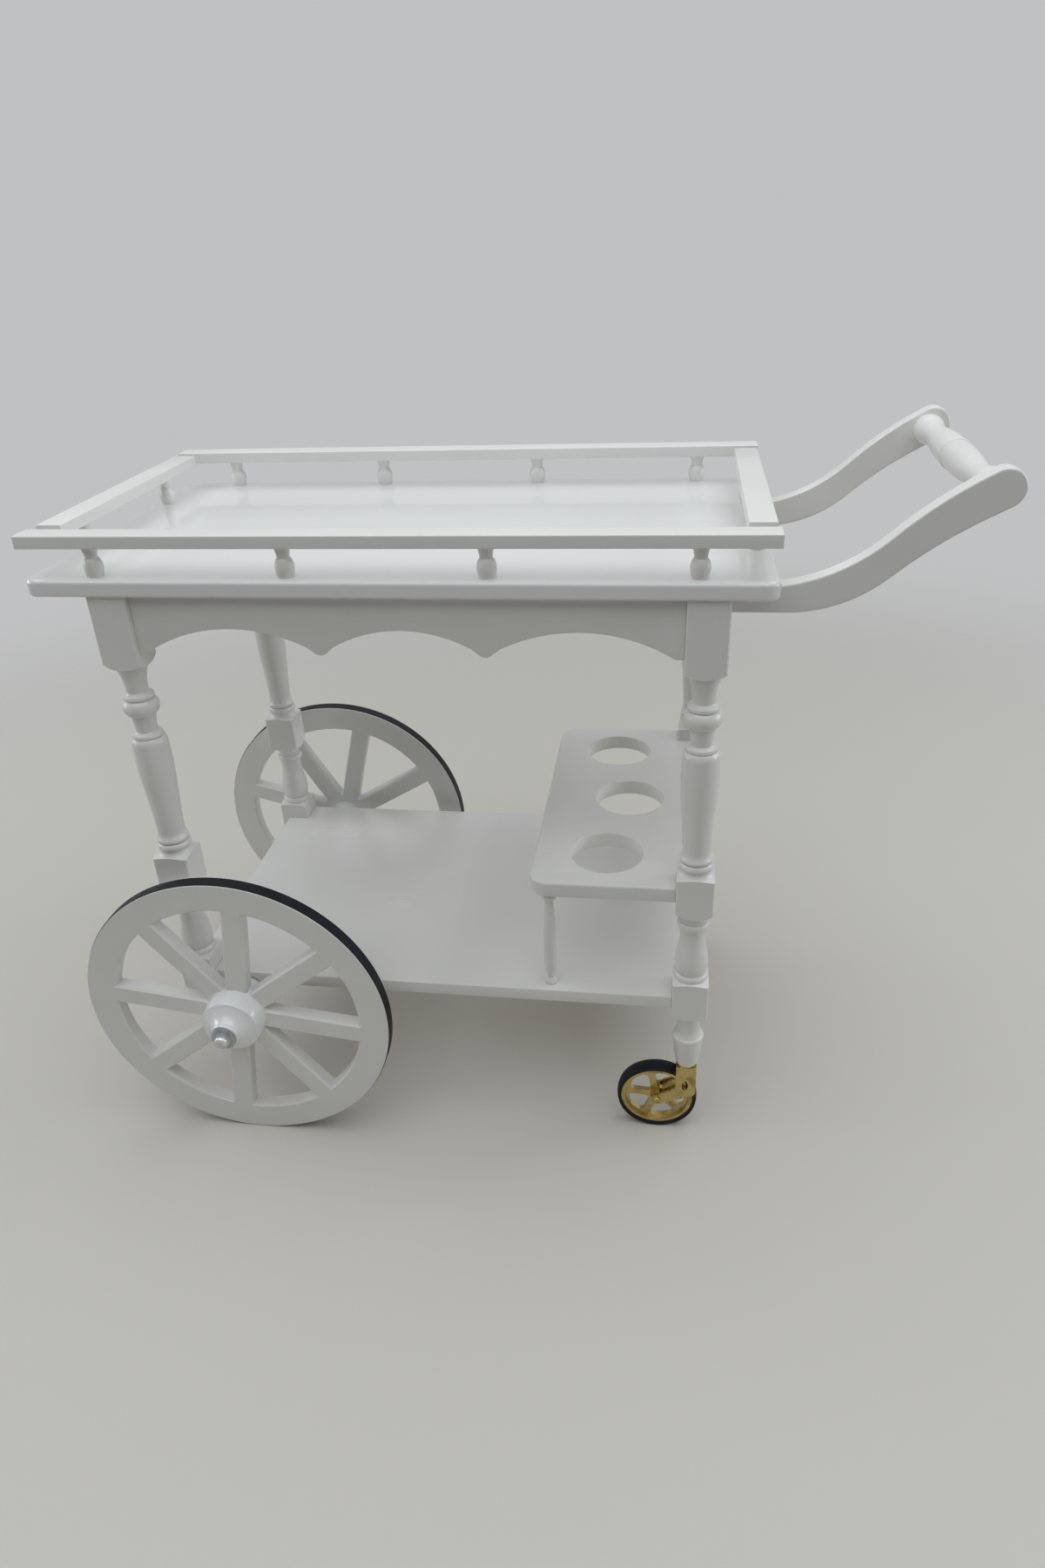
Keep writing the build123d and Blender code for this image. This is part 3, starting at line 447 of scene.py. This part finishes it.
# %% [markdown]
# ## Boards with eased edges
# A painted board never has a knife edge: it is sanded before it is sprayed, and the narrow round
# catches the light. The solids of the plain boards are sharp, so each gets a copy with a small bevel.
# A Bevel modifier needs clean faces, and a CAD mesh is loose triangles, so the copy is first merged and
# its flat faces are joined.

# %% Clean copies of CAD meshes
MERGE_DISTANCE = 1e-6
FLAT_ANGLE = math.radians(0.2)


def merged_copy(node):
    """Plain mesh of a CAD node with its corners merged and its flat faces joined."""
    shape = bmesh.new()
    shape.from_mesh(nodes[node].data)
    bmesh.ops.remove_doubles(shape, verts=shape.verts, dist=MERGE_DISTANCE)
    bmesh.ops.dissolve_limit(shape, angle_limit=FLAT_ANGLE, verts=shape.verts, edges=shape.edges)
    corners = [vertex.co[:] for vertex in shape.verts]
    shape.verts.index_update()
    faces = [[vertex.index for vertex in face.verts] for face in shape.faces]
    shape.free()
    mesh = bpy.data.meshes.new(node)
    mesh.from_pydata(corners, [], faces)
    return mesh


print("The front apron comes as", len(nodes["apron_front"].data.polygons), "loose triangles")

# %% [markdown]
# On the long aprons the points between the arches are worn round. A bevel as narrow as the others would
# hardly show there. So the last steps of the two arches are joined, the point is let down a little and a
# much wider bevel is cut, before the edges are eased.

# %% Round points on the long aprons
LONG_APRONS = ("apron_front", "apron_back")
TIP_REACH, TIP_DROP = 0.008, 0.003
TIP_STEPS = 6
JOIN_REACH = 2 * TIP_REACH
TIP_DOWNWARD, TIP_OPPOSED = -0.3, -0.04


def steps_of(shape):
    """Edges that run straight through the thickness of a long apron, along Y."""
    return [edge for edge in shape.edges
            if (edge.verts[0].co - edge.verts[1].co).xz.length < MERGE_DISTANCE]


def is_tip(edge):
    """Whether an edge is the point between two arches: its faces look down to the left and the right."""
    sides = [face.normal for face in edge.link_faces]
    return all(side.z < TIP_DOWNWARD for side in sides) and sides[0].x * sides[1].x < TIP_OPPOSED


def rounded_tips(mesh):
    """Rounds the points of an apron and returns how many there are."""
    shape = bmesh.new()
    shape.from_mesh(mesh)
    shape.normal_update()
    tips = [edge for edge in steps_of(shape) if is_tip(edge)]
    places = [tip.verts[0].co.xz for tip in tips]
    near = [edge for edge in steps_of(shape) if edge not in tips
            and any((edge.verts[0].co.xz - place).length < JOIN_REACH for place in places)]
    bmesh.ops.dissolve_edges(shape, edges=near, use_verts=True)
    for tip in tips:
        for corner in tip.verts:
            corner.co.z -= TIP_DROP
    bmesh.ops.bevel(shape, geom=tips, offset=TIP_REACH, segments=TIP_STEPS, profile=0.5, affect="EDGES")
    shape.to_mesh(mesh)
    shape.free()
    return len(tips)


board_meshes = {node: merged_copy(node) for node in LONG_APRONS}
for node, mesh in board_meshes.items():
    print(f"{node}: {rounded_tips(mesh)} rounded points")

# %% [markdown]
# Modifiers shape the new pieces, but a finished piece keeps none of them: its evaluated mesh becomes a
# plain object. The modifiers could also be applied one by one, but that needs a selected object and an
# operator for each. The plain piece then stands in for its CAD node, which is hidden, on the same body.


# %% Plain pieces that stand in for CAD nodes
def plain_result(maker, name):
    """Evaluated mesh of an object with modifiers, as a plain object of its own."""
    mesh = bpy.data.meshes.new_from_object(maker.evaluated_get(bpy.context.evaluated_depsgraph_get()))
    mesh.name = name
    source = maker.data
    bpy.data.objects.remove(maker)
    bpy.data.meshes.remove(source)
    piece = bpy.data.objects.new(name, mesh)
    scene.collection.objects.link(piece)
    return piece


def stand_for(piece, node):
    """The piece takes a node's place: the node is hidden, and the piece goes on its body."""
    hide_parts(node)
    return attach(piece, body_of_node[node])


print("Piece helpers:", ", ".join(helper.__name__ for helper in (plain_result, stand_for)))

# %% [markdown]
# Now the boards are eased, the thick ones a little wider than the thin ones. The bevel only takes edges
# that turn by more than a set angle, which leaves the arches and the round holes smooth.

# %% Eased copies of the boards
SIDES = ("front", "back", "left", "right")
BOARD_EASES = {
    "lower_shelf": 0.0012,
    "bottle_rack": 0.0012,
    "axle_beam": 0.0015,
    **{f"apron_{side}": 0.0010 for side in SIDES},
    **{f"gallery_rail_{side}": 0.0008 for side in SIDES},
}
EASE_ANGLE = math.radians(35)
EASE_STEPS = 3


def eased_board(node, ease):
    mesh = board_meshes[node] if node in board_meshes else merged_copy(node)
    maker = bpy.data.objects.new(node + "_maker", mesh)
    scene.collection.objects.link(maker)
    bevel = maker.modifiers.new("eased", "BEVEL")
    bevel.width = ease
    bevel.segments = EASE_STEPS
    bevel.limit_method = "ANGLE"
    bevel.angle_limit = EASE_ANGLE
    board = plain_result(maker, node + "_board")
    board.data.materials.append(finish_of(node))
    board.data.shade_smooth()
    board.data.set_sharp_from_angle(angle=EASE_ANGLE)
    return stand_for(board, node)


for node, ease in BOARD_EASES.items():
    board = eased_board(node, ease)
    print(f"{board.name}: {len(board.data.polygons)} faces")

# %% [markdown]
# ## Geometry Nodes for what repeats
# The spindles, the windows of the casters and the screws each repeat one shape, so a Geometry Nodes tree
# makes each kind. Copies in a loop would work too, but a tree keeps its sizes as named inputs.
# All trees start alike, with the inputs, and end alike: instances become real geometry, edges that turn
# sharply stay crisp, and the finish is set.
# A modifier's inputs are set by the sockets' identifiers, before the object is evaluated for the first
# time. The result becomes a plain mesh, and the modifier goes away with the object that carried it.


# %% Helpers for Geometry Nodes trees
def geometry_tree(name, inputs):
    """Empty Geometry Nodes tree with named inputs, and its input and output nodes."""
    tree = bpy.data.node_groups.new(name, "GeometryNodeTree")
    tree.interface.new_socket("Geometry", in_out="OUTPUT", socket_type="NodeSocketGeometry")
    tree.interface.new_socket("Geometry", in_out="INPUT", socket_type="NodeSocketGeometry")
    for label, kind in inputs:
        tree.interface.new_socket(label, in_out="INPUT", socket_type=kind)
    return tree, tree.nodes.new("NodeGroupInput"), tree.nodes.new("NodeGroupOutput")


def finish_geometry(tree, geometry, given, result):
    """Shared end of the trees: real geometry, crisp edges and the material."""
    real = add(tree, "GeometryNodeRealizeInstances", Geometry=geometry)
    angle = add(tree, "GeometryNodeInputMeshEdgeAngle").outputs["Unsigned Angle"]
    crisp = add(tree, "FunctionNodeCompare", {"operation": "GREATER_THAN"}, _0=angle, _1=EASE_ANGLE)
    smooth = add(tree, "GeometryNodeSetShadeSmooth", {"domain": "FACE"}, _0=real.outputs[0], _2=True)
    edges = add(tree, "GeometryNodeSetShadeSmooth", {"domain": "EDGE"}, _0=smooth.outputs[0],
                _1=crisp.outputs[0], _2=False)
    painted = add(tree, "GeometryNodeSetMaterial", Geometry=edges.outputs[0],
                  Material=given.outputs["Finish"])
    tree.links.new(painted.outputs[0], result.inputs["Geometry"])


def run_tree(tree, mesh, name, values):
    """Plain piece that a Geometry Nodes tree makes from a mesh and named input values."""
    maker = bpy.data.objects.new(name + "_maker", mesh)
    scene.collection.objects.link(maker)
    modifier = maker.modifiers.new("maker", "NODES")
    modifier.node_group = tree
    for socket in tree.interface.items_tree:
        if socket.in_out == "INPUT" and socket.name in values:
            modifier[socket.identifier] = values[socket.name]
    return plain_result(maker, name)


print("Tree helpers:", ", ".join(helper.__name__ for helper in (geometry_tree, finish_geometry, run_tree)))

# %% [markdown]
# ## Gallery spindles
# Twelve small balusters carry the rails: a long ball on the tray, and a short neck that flares to the
# rail. They are all turned to one pattern, as from a turner's template. A drawn curve could hold the
# template, but a Float Curve keeps it inside the tree: it says how wide the piece is at each height.

# %% Profile of the spindles
SPINDLE_RINGS = 51
CAP_SHARE = 1 / (SPINDLE_RINGS - 1)
SPINDLE_PROFILE = [
    (0.00, 0.00, "VECTOR"),
    (CAP_SHARE, 0.84, "VECTOR"),
    (0.170, 0.955, "AUTO"),
    (0.325, 1.000, "AUTO"),
    (0.475, 0.920, "AUTO"),
    (0.600, 0.720, "VECTOR"),
    (0.615, 0.640, "VECTOR"),
    (0.800, 0.740, "AUTO"),
    (1 - CAP_SHARE, 0.905, "VECTOR"),
    (1.00, 0.00, "VECTOR"),
]


def turned_profile(tree, share):
    """Float Curve that gives the radius, as a share of the widest, at a share of the height."""
    curve = add(tree, "ShaderNodeFloatCurve", Value=share)
    points = curve.mapping.curves[0].points
    while len(points) < len(SPINDLE_PROFILE):
        points.new(0.5, 0.5)
    for point, (where, width, handle) in zip(points, SPINDLE_PROFILE):
        point.location = (where, width)
        point.handle_type = handle
    curve.mapping.update()
    return curve.outputs[0]


print("Spindle profile with", len(SPINDLE_PROFILE), "points")

# %% [markdown]
# In the tree, a flat grid is rolled round an axis, as wide at each height as the profile says. Its first
# and last rows of faces become the flat ends. One such turning then goes on each point of a line.

# %% Geometry Nodes tree: a row of turned spindles
SPINDLE_SIDES = 40


def make_spindle_row():
    tree, given, result = geometry_tree("spindle_row", [
        ("Count", "NodeSocketInt"), ("Start", "NodeSocketVector"), ("Step", "NodeSocketVector"),
        ("Height", "NodeSocketFloat"), ("Ball Radius", "NodeSocketFloat"), ("Finish", "NodeSocketMaterial"),
    ])
    grid = add(tree, "GeometryNodeMeshGrid", Size_X=1.0, Size_Y=1.0,
               Vertices_X=SPINDLE_SIDES + 1, Vertices_Y=SPINDLE_RINGS)
    flat = add(tree, "ShaderNodeSeparateXYZ", Vector=add(tree, "GeometryNodeInputPosition").outputs[0])
    turn = math_node(tree, "MULTIPLY", math_node(tree, "ADD", flat.outputs["X"], 0.5), math.tau)
    share = math_node(tree, "ADD", flat.outputs["Y"], 0.5)
    radius = math_node(tree, "MULTIPLY", turned_profile(tree, share), given.outputs["Ball Radius"])
    rise = ramp(tree, share, CAP_SHARE, 1 - CAP_SHARE, "LINEAR", To_Max=given.outputs["Height"])
    rolled = add(tree, "ShaderNodeCombineXYZ", Z=rise,
                 X=math_node(tree, "MULTIPLY", radius, math_node(tree, "COSINE", turn)),
                 Y=math_node(tree, "MULTIPLY", radius, math_node(tree, "SINE", turn)))
    turning = add(tree, "GeometryNodeSetPosition", Geometry=grid.outputs["Mesh"], Position=rolled.outputs[0])
    closed = add(tree, "GeometryNodeMergeByDistance", Geometry=turning.outputs[0], Distance=MERGE_DISTANCE)
    line = add(tree, "GeometryNodeMeshLine", {"mode": "OFFSET"}, Count=given.outputs["Count"],
               Start_Location=given.outputs["Start"], Offset=given.outputs["Step"])
    row = add(tree, "GeometryNodeInstanceOnPoints", Points=line.outputs[0], Instance=closed.outputs[0])
    finish_geometry(tree, row.outputs[0], given, result)
    return tree


spindle_row = make_spindle_row()
print("Tree", spindle_row.name, "with", len(spindle_row.nodes), "nodes")

# %% [markdown]
# Each side of the tray has a row of its own. Its start, step and radius could be typed in, but they are
# measured on the box of the CAD node that the row replaces, so the two can't drift apart.

# %% Four rows of spindles
SPINDLE_COUNTS = {"front": 4, "back": 4, "left": 2, "right": 2}


def row_of_spindles(side, count):
    node = "gallery_spindles_" + side
    low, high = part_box(node)
    size = high - low
    radius = min(size.x, size.y) / 2
    reach = Vector((max(size.x - 2 * radius, 0), max(size.y - 2 * radius, 0), 0))
    row = run_tree(spindle_row, bpy.data.meshes.new("empty"), "spindle_row_" + side, {
        "Count": count,
        "Start": low + Vector((radius, radius, 0)),
        "Step": reach / (count - 1),
        "Height": size.z,
        "Ball Radius": radius,
        "Finish": lacquer_leg,
    })
    return stand_for(row, node)


for side, count in SPINDLE_COUNTS.items():
    row = row_of_spindles(side, count)
    print(f"{row.name}: {count} spindles, {len(row.data.polygons)} faces")

# %% [markdown]
# ## Webs of the caster wheels
# The brass casters are cast: a web with five windows joins the rim to the hub, and every corner of a
# window is round, because sharp corners would crack in the mould. The solids have the windows with
# tighter corners, so a thin web with rounder windows is laid over theirs.
# A boolean could cut the windows, but a filled curve is cleaner. One window is drawn with straight
# lines, and the tree rounds its corners, repeats it round the wheel, fills what is left of the disc
# and gives it its thickness.

# %% Geometry Nodes tree: a web with round windows
WEB_SIDES = 96
CORNER_STEPS = 6


def joined(tree, *parts):
    """Output of a Join Geometry node."""
    join = add(tree, "GeometryNodeJoinGeometry")
    for part in parts:
        tree.links.new(part, join.inputs[0])
    return join.outputs[0]


def make_windowed_web():
    tree, given, result = geometry_tree("windowed_web", [
        ("Radius", "NodeSocketFloat"), ("Thickness", "NodeSocketFloat"), ("Windows", "NodeSocketInt"),
        ("First Window", "NodeSocketFloat"), ("Corner Radius", "NodeSocketFloat"),
        ("Centre", "NodeSocketVector"), ("Finish", "NodeSocketMaterial"),
    ])
    drawn = add(tree, "GeometryNodeMeshToCurve", Mesh=given.outputs["Geometry"]).outputs[0]
    window = add(tree, "GeometryNodeFilletCurve", {"mode": "POLY"}, Curve=drawn, Count=CORNER_STEPS,
                 Radius=given.outputs["Corner Radius"], Limit_Radius=True)
    step = math_node(tree, "DIVIDE", math.tau, given.outputs["Windows"])
    turn = math_node(tree, "MULTIPLY", add(tree, "GeometryNodeInputIndex").outputs[0], step)
    turn = add(tree, "ShaderNodeCombineXYZ", Z=math_node(tree, "ADD", turn, given.outputs["First Window"]))
    points = add(tree, "GeometryNodePoints", Count=given.outputs["Windows"]).outputs[0]
    windows = add(tree, "GeometryNodeInstanceOnPoints", Points=points, Instance=window.outputs[0],
                  Rotation=turn.outputs[0])
    cut = add(tree, "GeometryNodeRealizeInstances", Geometry=windows.outputs[0]).outputs[0]
    disc = add(tree, "GeometryNodeCurvePrimitiveCircle", Resolution=WEB_SIDES,
               Radius=given.outputs["Radius"])
    outline = joined(tree, disc.outputs["Curve"], cut)
    sheet = add(tree, "GeometryNodeFillCurve", Curve=outline).outputs[0]
    raised = add(tree, "GeometryNodeExtrudeMesh", Mesh=sheet, Offset_Scale=given.outputs["Thickness"],
                 Individual=False).outputs["Mesh"]
    under = add(tree, "GeometryNodeFlipFaces", Mesh=sheet).outputs[0]
    closed = add(tree, "GeometryNodeMergeByDistance", Geometry=joined(tree, raised, under),
                 Distance=MERGE_DISTANCE).outputs[0]
    sink = add(tree, "ShaderNodeCombineXYZ", Z=math_node(tree, "MULTIPLY", given.outputs["Thickness"], -0.5))
    middle = add(tree, "GeometryNodeTransform", Geometry=closed, Translation=sink.outputs[0]).outputs[0]
    upright = add(tree, "GeometryNodeTransform", Geometry=middle, Rotation=(math.pi / 2, 0, 0),
                  Translation=given.outputs["Centre"]).outputs[0]
    finish_geometry(tree, upright, given, result)
    return tree


windowed_web = make_windowed_web()
print("Tree", windowed_web.name, "with", len(windowed_web.nodes), "nodes")

# %% [markdown]
# A window is a fan between two spokes, drawn pointing along X. Its long sides run along the edges of the
# spokes, and its outer side has a point in the middle, so that it follows the rim once it is rounded.

# %% Two webs
WEB_WINDOWS = 5
WEB_RADIUS, WEB_THICKNESS = 0.0418, 0.0062
SPOKE_WIDTH = 0.0092
WINDOW_FROM, WINDOW_TO, WINDOW_CROWN = 0.0115, 0.0385, 0.0400
WINDOW_CORNER = 0.0055
HALF_WINDOW = math.pi / WEB_WINDOWS
FIRST_SPOKE = math.radians(103)
FIRST_WINDOW = FIRST_SPOKE + HALF_WINDOW


def window_mesh():
    """Loop of edges round one window."""
    along = Vector((math.cos(HALF_WINDOW), math.sin(HALF_WINDOW), 0))
    across = Vector((math.sin(HALF_WINDOW), -math.cos(HALF_WINDOW), 0))
    inner, outer = (along * reach + across * SPOKE_WIDTH / 2 for reach in (WINDOW_FROM, WINDOW_TO))
    mirror = Vector((1, -1, 1))
    corners = [inner * mirror, outer * mirror, Vector((WINDOW_CROWN, 0, 0)), outer, inner]
    mesh = bpy.data.meshes.new("window")
    mesh.from_pydata(corners, [(at, (at + 1) % len(corners)) for at in range(len(corners))], [])
    return mesh


for side in ("front", "back"):
    low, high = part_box(f"caster_{side}_wheel")
    web = run_tree(windowed_web, window_mesh(), f"caster_{side}_web", {
        "Radius": WEB_RADIUS,
        "Thickness": WEB_THICKNESS,
        "Windows": WEB_WINDOWS,
        "First Window": FIRST_WINDOW,
        "Corner Radius": WINDOW_CORNER,
        "Centre": (low + high) / 2,
        "Finish": brass,
    })
    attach(web, body_of_node[f"caster_{side}_wheel"])
    print(f"{web.name}: {WEB_WINDOWS} windows, {len(web.data.polygons)} faces")

# %% [markdown]
# ## Screws out of sight
# The axle's beam is screwed to the shelf from below, and each handle arm is screwed to its leg from the
# inside, where guests don't see the heads. They all have one shape, so again a tree makes them: it puts
# a slotted head on each point of a mesh and turns it to face the way that the point's attribute says.

# %% Geometry Nodes tree: slotted screw heads
SCREW_SIDES = 28
HEAD_TAPER = (0.72, 0.72, 1.0)
BLADE_LENGTH = 3.0


def make_slotted_screws():
    tree, given, result = geometry_tree("slotted_screws", [
        ("Head Radius", "NodeSocketFloat"), ("Head Height", "NodeSocketFloat"),
        ("Slot Width", "NodeSocketFloat"), ("Finish", "NodeSocketMaterial"),
    ])
    radius, height = given.outputs["Head Radius"], given.outputs["Head Height"]
    drum = add(tree, "GeometryNodeMeshCylinder", Vertices=SCREW_SIDES, Radius=radius, Depth=height)
    here = add(tree, "GeometryNodeInputPosition").outputs[0]
    is_top = math_node(tree, "GREATER_THAN", add(tree, "ShaderNodeSeparateXYZ", Vector=here).outputs["Z"])
    narrow = add(tree, "ShaderNodeVectorMath", {"operation": "MULTIPLY"}, _0=here, _1=HEAD_TAPER)
    domed = add(tree, "GeometryNodeSetPosition", Geometry=drum.outputs["Mesh"], Selection=is_top,
                Position=narrow.outputs[0])
    blade = add(tree, "ShaderNodeCombineXYZ", X=math_node(tree, "MULTIPLY", radius, BLADE_LENGTH),
                Y=given.outputs["Slot Width"], Z=height)
    block = add(tree, "GeometryNodeMeshCube", Size=blade.outputs[0])
    lift = add(tree, "ShaderNodeCombineXYZ", Z=math_node(tree, "DIVIDE", height, 2.0)).outputs[0]
    lifted = add(tree, "GeometryNodeTransform", Geometry=block.outputs["Mesh"], Translation=lift)
    slotted = add(tree, "GeometryNodeMeshBoolean", {"operation": "DIFFERENCE"}, _0=domed.outputs[0],
                  _1=lifted.outputs[0])
    seated = add(tree, "GeometryNodeTransform", Geometry=slotted.outputs["Mesh"], Translation=lift)
    facing = add(tree, "GeometryNodeInputNamedAttribute", {"data_type": "FLOAT_VECTOR"}, Name="facing")
    turned = add(tree, "FunctionNodeAlignRotationToVector", {"axis": "Z"}, Vector=facing.outputs[0])
    heads = add(tree, "GeometryNodeInstanceOnPoints", Points=given.outputs["Geometry"],
                Instance=seated.outputs[0], Rotation=turned.outputs[0])
    finish_geometry(tree, heads.outputs[0], given, result)
    return tree


slotted_screws = make_slotted_screws()
print("Tree", slotted_screws.name, "with", len(slotted_screws.nodes), "nodes")

# %% [markdown]
# Four heads hold the beam and two hold each arm. Their places could be typed in, but they come from the
# boxes of the pieces that they go through, so they stay right when the CAD model changes.

# %% Places of the screws
SCREW_EDGE = 0.008
BEAM_SCREW_SHARES = (0.75, 0.35)
ARM_SCREW_STEPS = (1, 3)


def screw_points():
    """Places and directions of all the screw heads."""
    low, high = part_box("axle_beam")
    middle = (low + high) / 2
    places = []
    for end in (-1, 1):
        for edge, share in zip((low.x + SCREW_EDGE, high.x - SCREW_EDGE), BEAM_SCREW_SHARES):
            place = Vector((edge, middle.y + end * share * (high.y - low.y) / 2, low.z))
            places.append((place, Vector((0, 0, -1))))
    for side, inward in (("front", 1), ("back", -1)):
        low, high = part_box("handle_arm_" + side)
        leg_low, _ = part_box("leg_" + side + "_right")
        face = high.y if inward > 0 else low.y
        for step in ARM_SCREW_STEPS:
            place = Vector((leg_low.x + SCREW_EDGE, face, low.z + step * SCREW_EDGE))
            places.append((place, Vector((0, inward, 0))))
    return places


screw_places = screw_points()
print(len(screw_places), "places for screws")

# %% [markdown]
# The tree needs points to work on, so the places become the corners of a mesh without faces, and the
# way that each head faces is an attribute of its corner.


# %% Screws under the axle beam and inside the arms
def screw_mesh(places):
    """Mesh with a corner for each screw head, and the head's direction as an attribute."""
    mesh = bpy.data.meshes.new("screw_places")
    mesh.from_pydata([place[:] for place, _ in places], [], [])
    facing = mesh.attributes.new("facing", "FLOAT_VECTOR", "POINT")
    for item, (_, direction) in zip(facing.data, places):
        item.vector = direction
    return mesh


screws = run_tree(slotted_screws, screw_mesh(screw_places), "hidden_screws", {
    "Head Radius": 0.0038,
    "Head Height": 0.0018,
    "Slot Width": 0.0010,
    "Finish": steel,
})
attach(screws, "cart_frame")
print(f"{screws.name}: {len(screw_places)} heads, {len(screws.data.polygons)} faces")

# %% [markdown]
# ## Floor and backdrop
# The cart stands on a plain pale floor that has no visible end: the disc turns see-through far away, and
# there the world's own colour takes over. A curved paper backdrop would do the same for one camera, but
# it would stand in the way of the others.

# %% Floor
FLOOR_RADIUS = 14.0
FLOOR_SIDES = 96
FLOOR_FADE = (0.9, 2.6)
FLOOR_COLOUR = (0.700, 0.675, 0.625)


def floor_material():
    material, tree, shader = new_material("pale_floor")
    place = add(tree, "ShaderNodeTexCoord").outputs["Object"]
    distance = add(tree, "ShaderNodeVectorMath", {"operation": "LENGTH"}, _0=place).outputs["Value"]
    far = ramp(tree, distance, *FLOOR_FADE)
    shader.inputs["Base Color"].default_value = (*FLOOR_COLOUR, 1)
    shader.inputs["Roughness"].default_value = 0.9
    shader.inputs["Specular IOR Level"].default_value = 0.1
    clear = add(tree, "ShaderNodeBsdfTransparent")
    mix = add(tree, "ShaderNodeMixShader", _0=far, _1=shader.outputs[0], _2=clear.outputs[0])
    tree.links.new(mix.outputs[0], tree.nodes["Material Output"].inputs["Surface"])
    return material


disc = bmesh.new()
bmesh.ops.create_circle(disc, cap_ends=True, segments=FLOOR_SIDES, radius=FLOOR_RADIUS)
floor_mesh = bpy.data.meshes.new("floor")
disc.to_mesh(floor_mesh)
disc.free()
floor_mesh.materials.append(floor_material())
floor = bpy.data.objects.new("floor", floor_mesh)
scene.collection.objects.link(floor)
print(f"Floor disc, {2 * FLOOR_RADIUS:.0f} m across")

# %% [markdown]
# The world has two jobs: it fills the shadows with a weak, warm light, and it is the pale backdrop that
# the camera sees and the tray mirrors. One plain background could not be weak and pale at once, so the
# kind of ray chooses between two.

# %% World
LAMPLIGHT = (1.00, 0.94, 0.82)
BACKDROP = (0.530, 0.532, 0.540)
WORLD_STRENGTH = 0.035


def make_world():
    """World that lights the cart with a warm fill, and shows the backdrop to camera and mirrors."""
    world = bpy.data.worlds.new("studio")
    world.use_nodes = True
    tree = world.node_tree
    fill = tree.nodes["Background"]
    fill.inputs["Color"].default_value = (*LAMPLIGHT, 1)
    fill.inputs["Strength"].default_value = WORLD_STRENGTH
    seen = add(tree, "ShaderNodeBackground", Color=(*BACKDROP, 1), Strength=1.0)
    path = add(tree, "ShaderNodeLightPath")
    direct = math_node(tree, "MAXIMUM", path.outputs["Is Camera Ray"], path.outputs["Is Glossy Ray"])
    direct = math_node(tree, "MAXIMUM", direct, path.outputs["Is Transmission Ray"])
    mix = add(tree, "ShaderNodeMixShader", _0=direct, _1=fill.outputs[0], _2=seen.outputs[0])
    tree.links.new(mix.outputs[0], tree.nodes["World Output"].inputs["Surface"])
    return world


scene.world = make_world()
print("World", scene.world.name, "with a fill of", WORLD_STRENGTH)

# %% [markdown]
# ## Light
# In the photograph the tops are bright and the faces towards the camera are about a third as bright:
# the room's light comes from above. A sun lamp would draw hard shadows, so a large overhead softbox does
# most of it, and reaches further forward than back. One softbox at each side brightens the flanks of the
# turned legs. They stand well away from the cart, so that none of them leaves a bright patch on the floor.
# The level is set so that the white paint renders about as it is written and nothing clips.

# %% Softboxes
DAYLIGHT = (0.94, 0.975, 1.00)
SOFTBOXES = [
    ("overhead", (0.0, -0.35, 2.7), (0.0, -0.35, 0.0), (4.2, 4.4), 84.0),
    ("right_side", (3.2, 0.3, 1.3), (0.0, 0.0, 0.4), (2.0, 1.4), 28.0),
    ("left_side", (-3.2, -0.1, 1.3), (0.0, 0.0, 0.4), (2.0, 1.4), 22.0),
]


def softbox(name, place, target, size, power):
    """Rectangular lamp at a place, turned to a target, with its size in metres and power in watts."""
    light = bpy.data.lights.new(name, "AREA")
    light.shape = "RECTANGLE"
    light.size, light.size_y = size
    light.energy = power
    light.color = DAYLIGHT
    lamp = bpy.data.objects.new(name, light)
    lamp.location = place
    lamp.rotation_euler = (Vector(target) - Vector(place)).to_track_quat("-Z", "Y").to_euler()
    scene.collection.objects.link(lamp)
    return lamp


for setting in SOFTBOXES:
    lamp = softbox(*setting)
    print(f"{lamp.name}: {lamp.data.energy:.0f} W")
scene.view_settings.view_transform = "Standard"
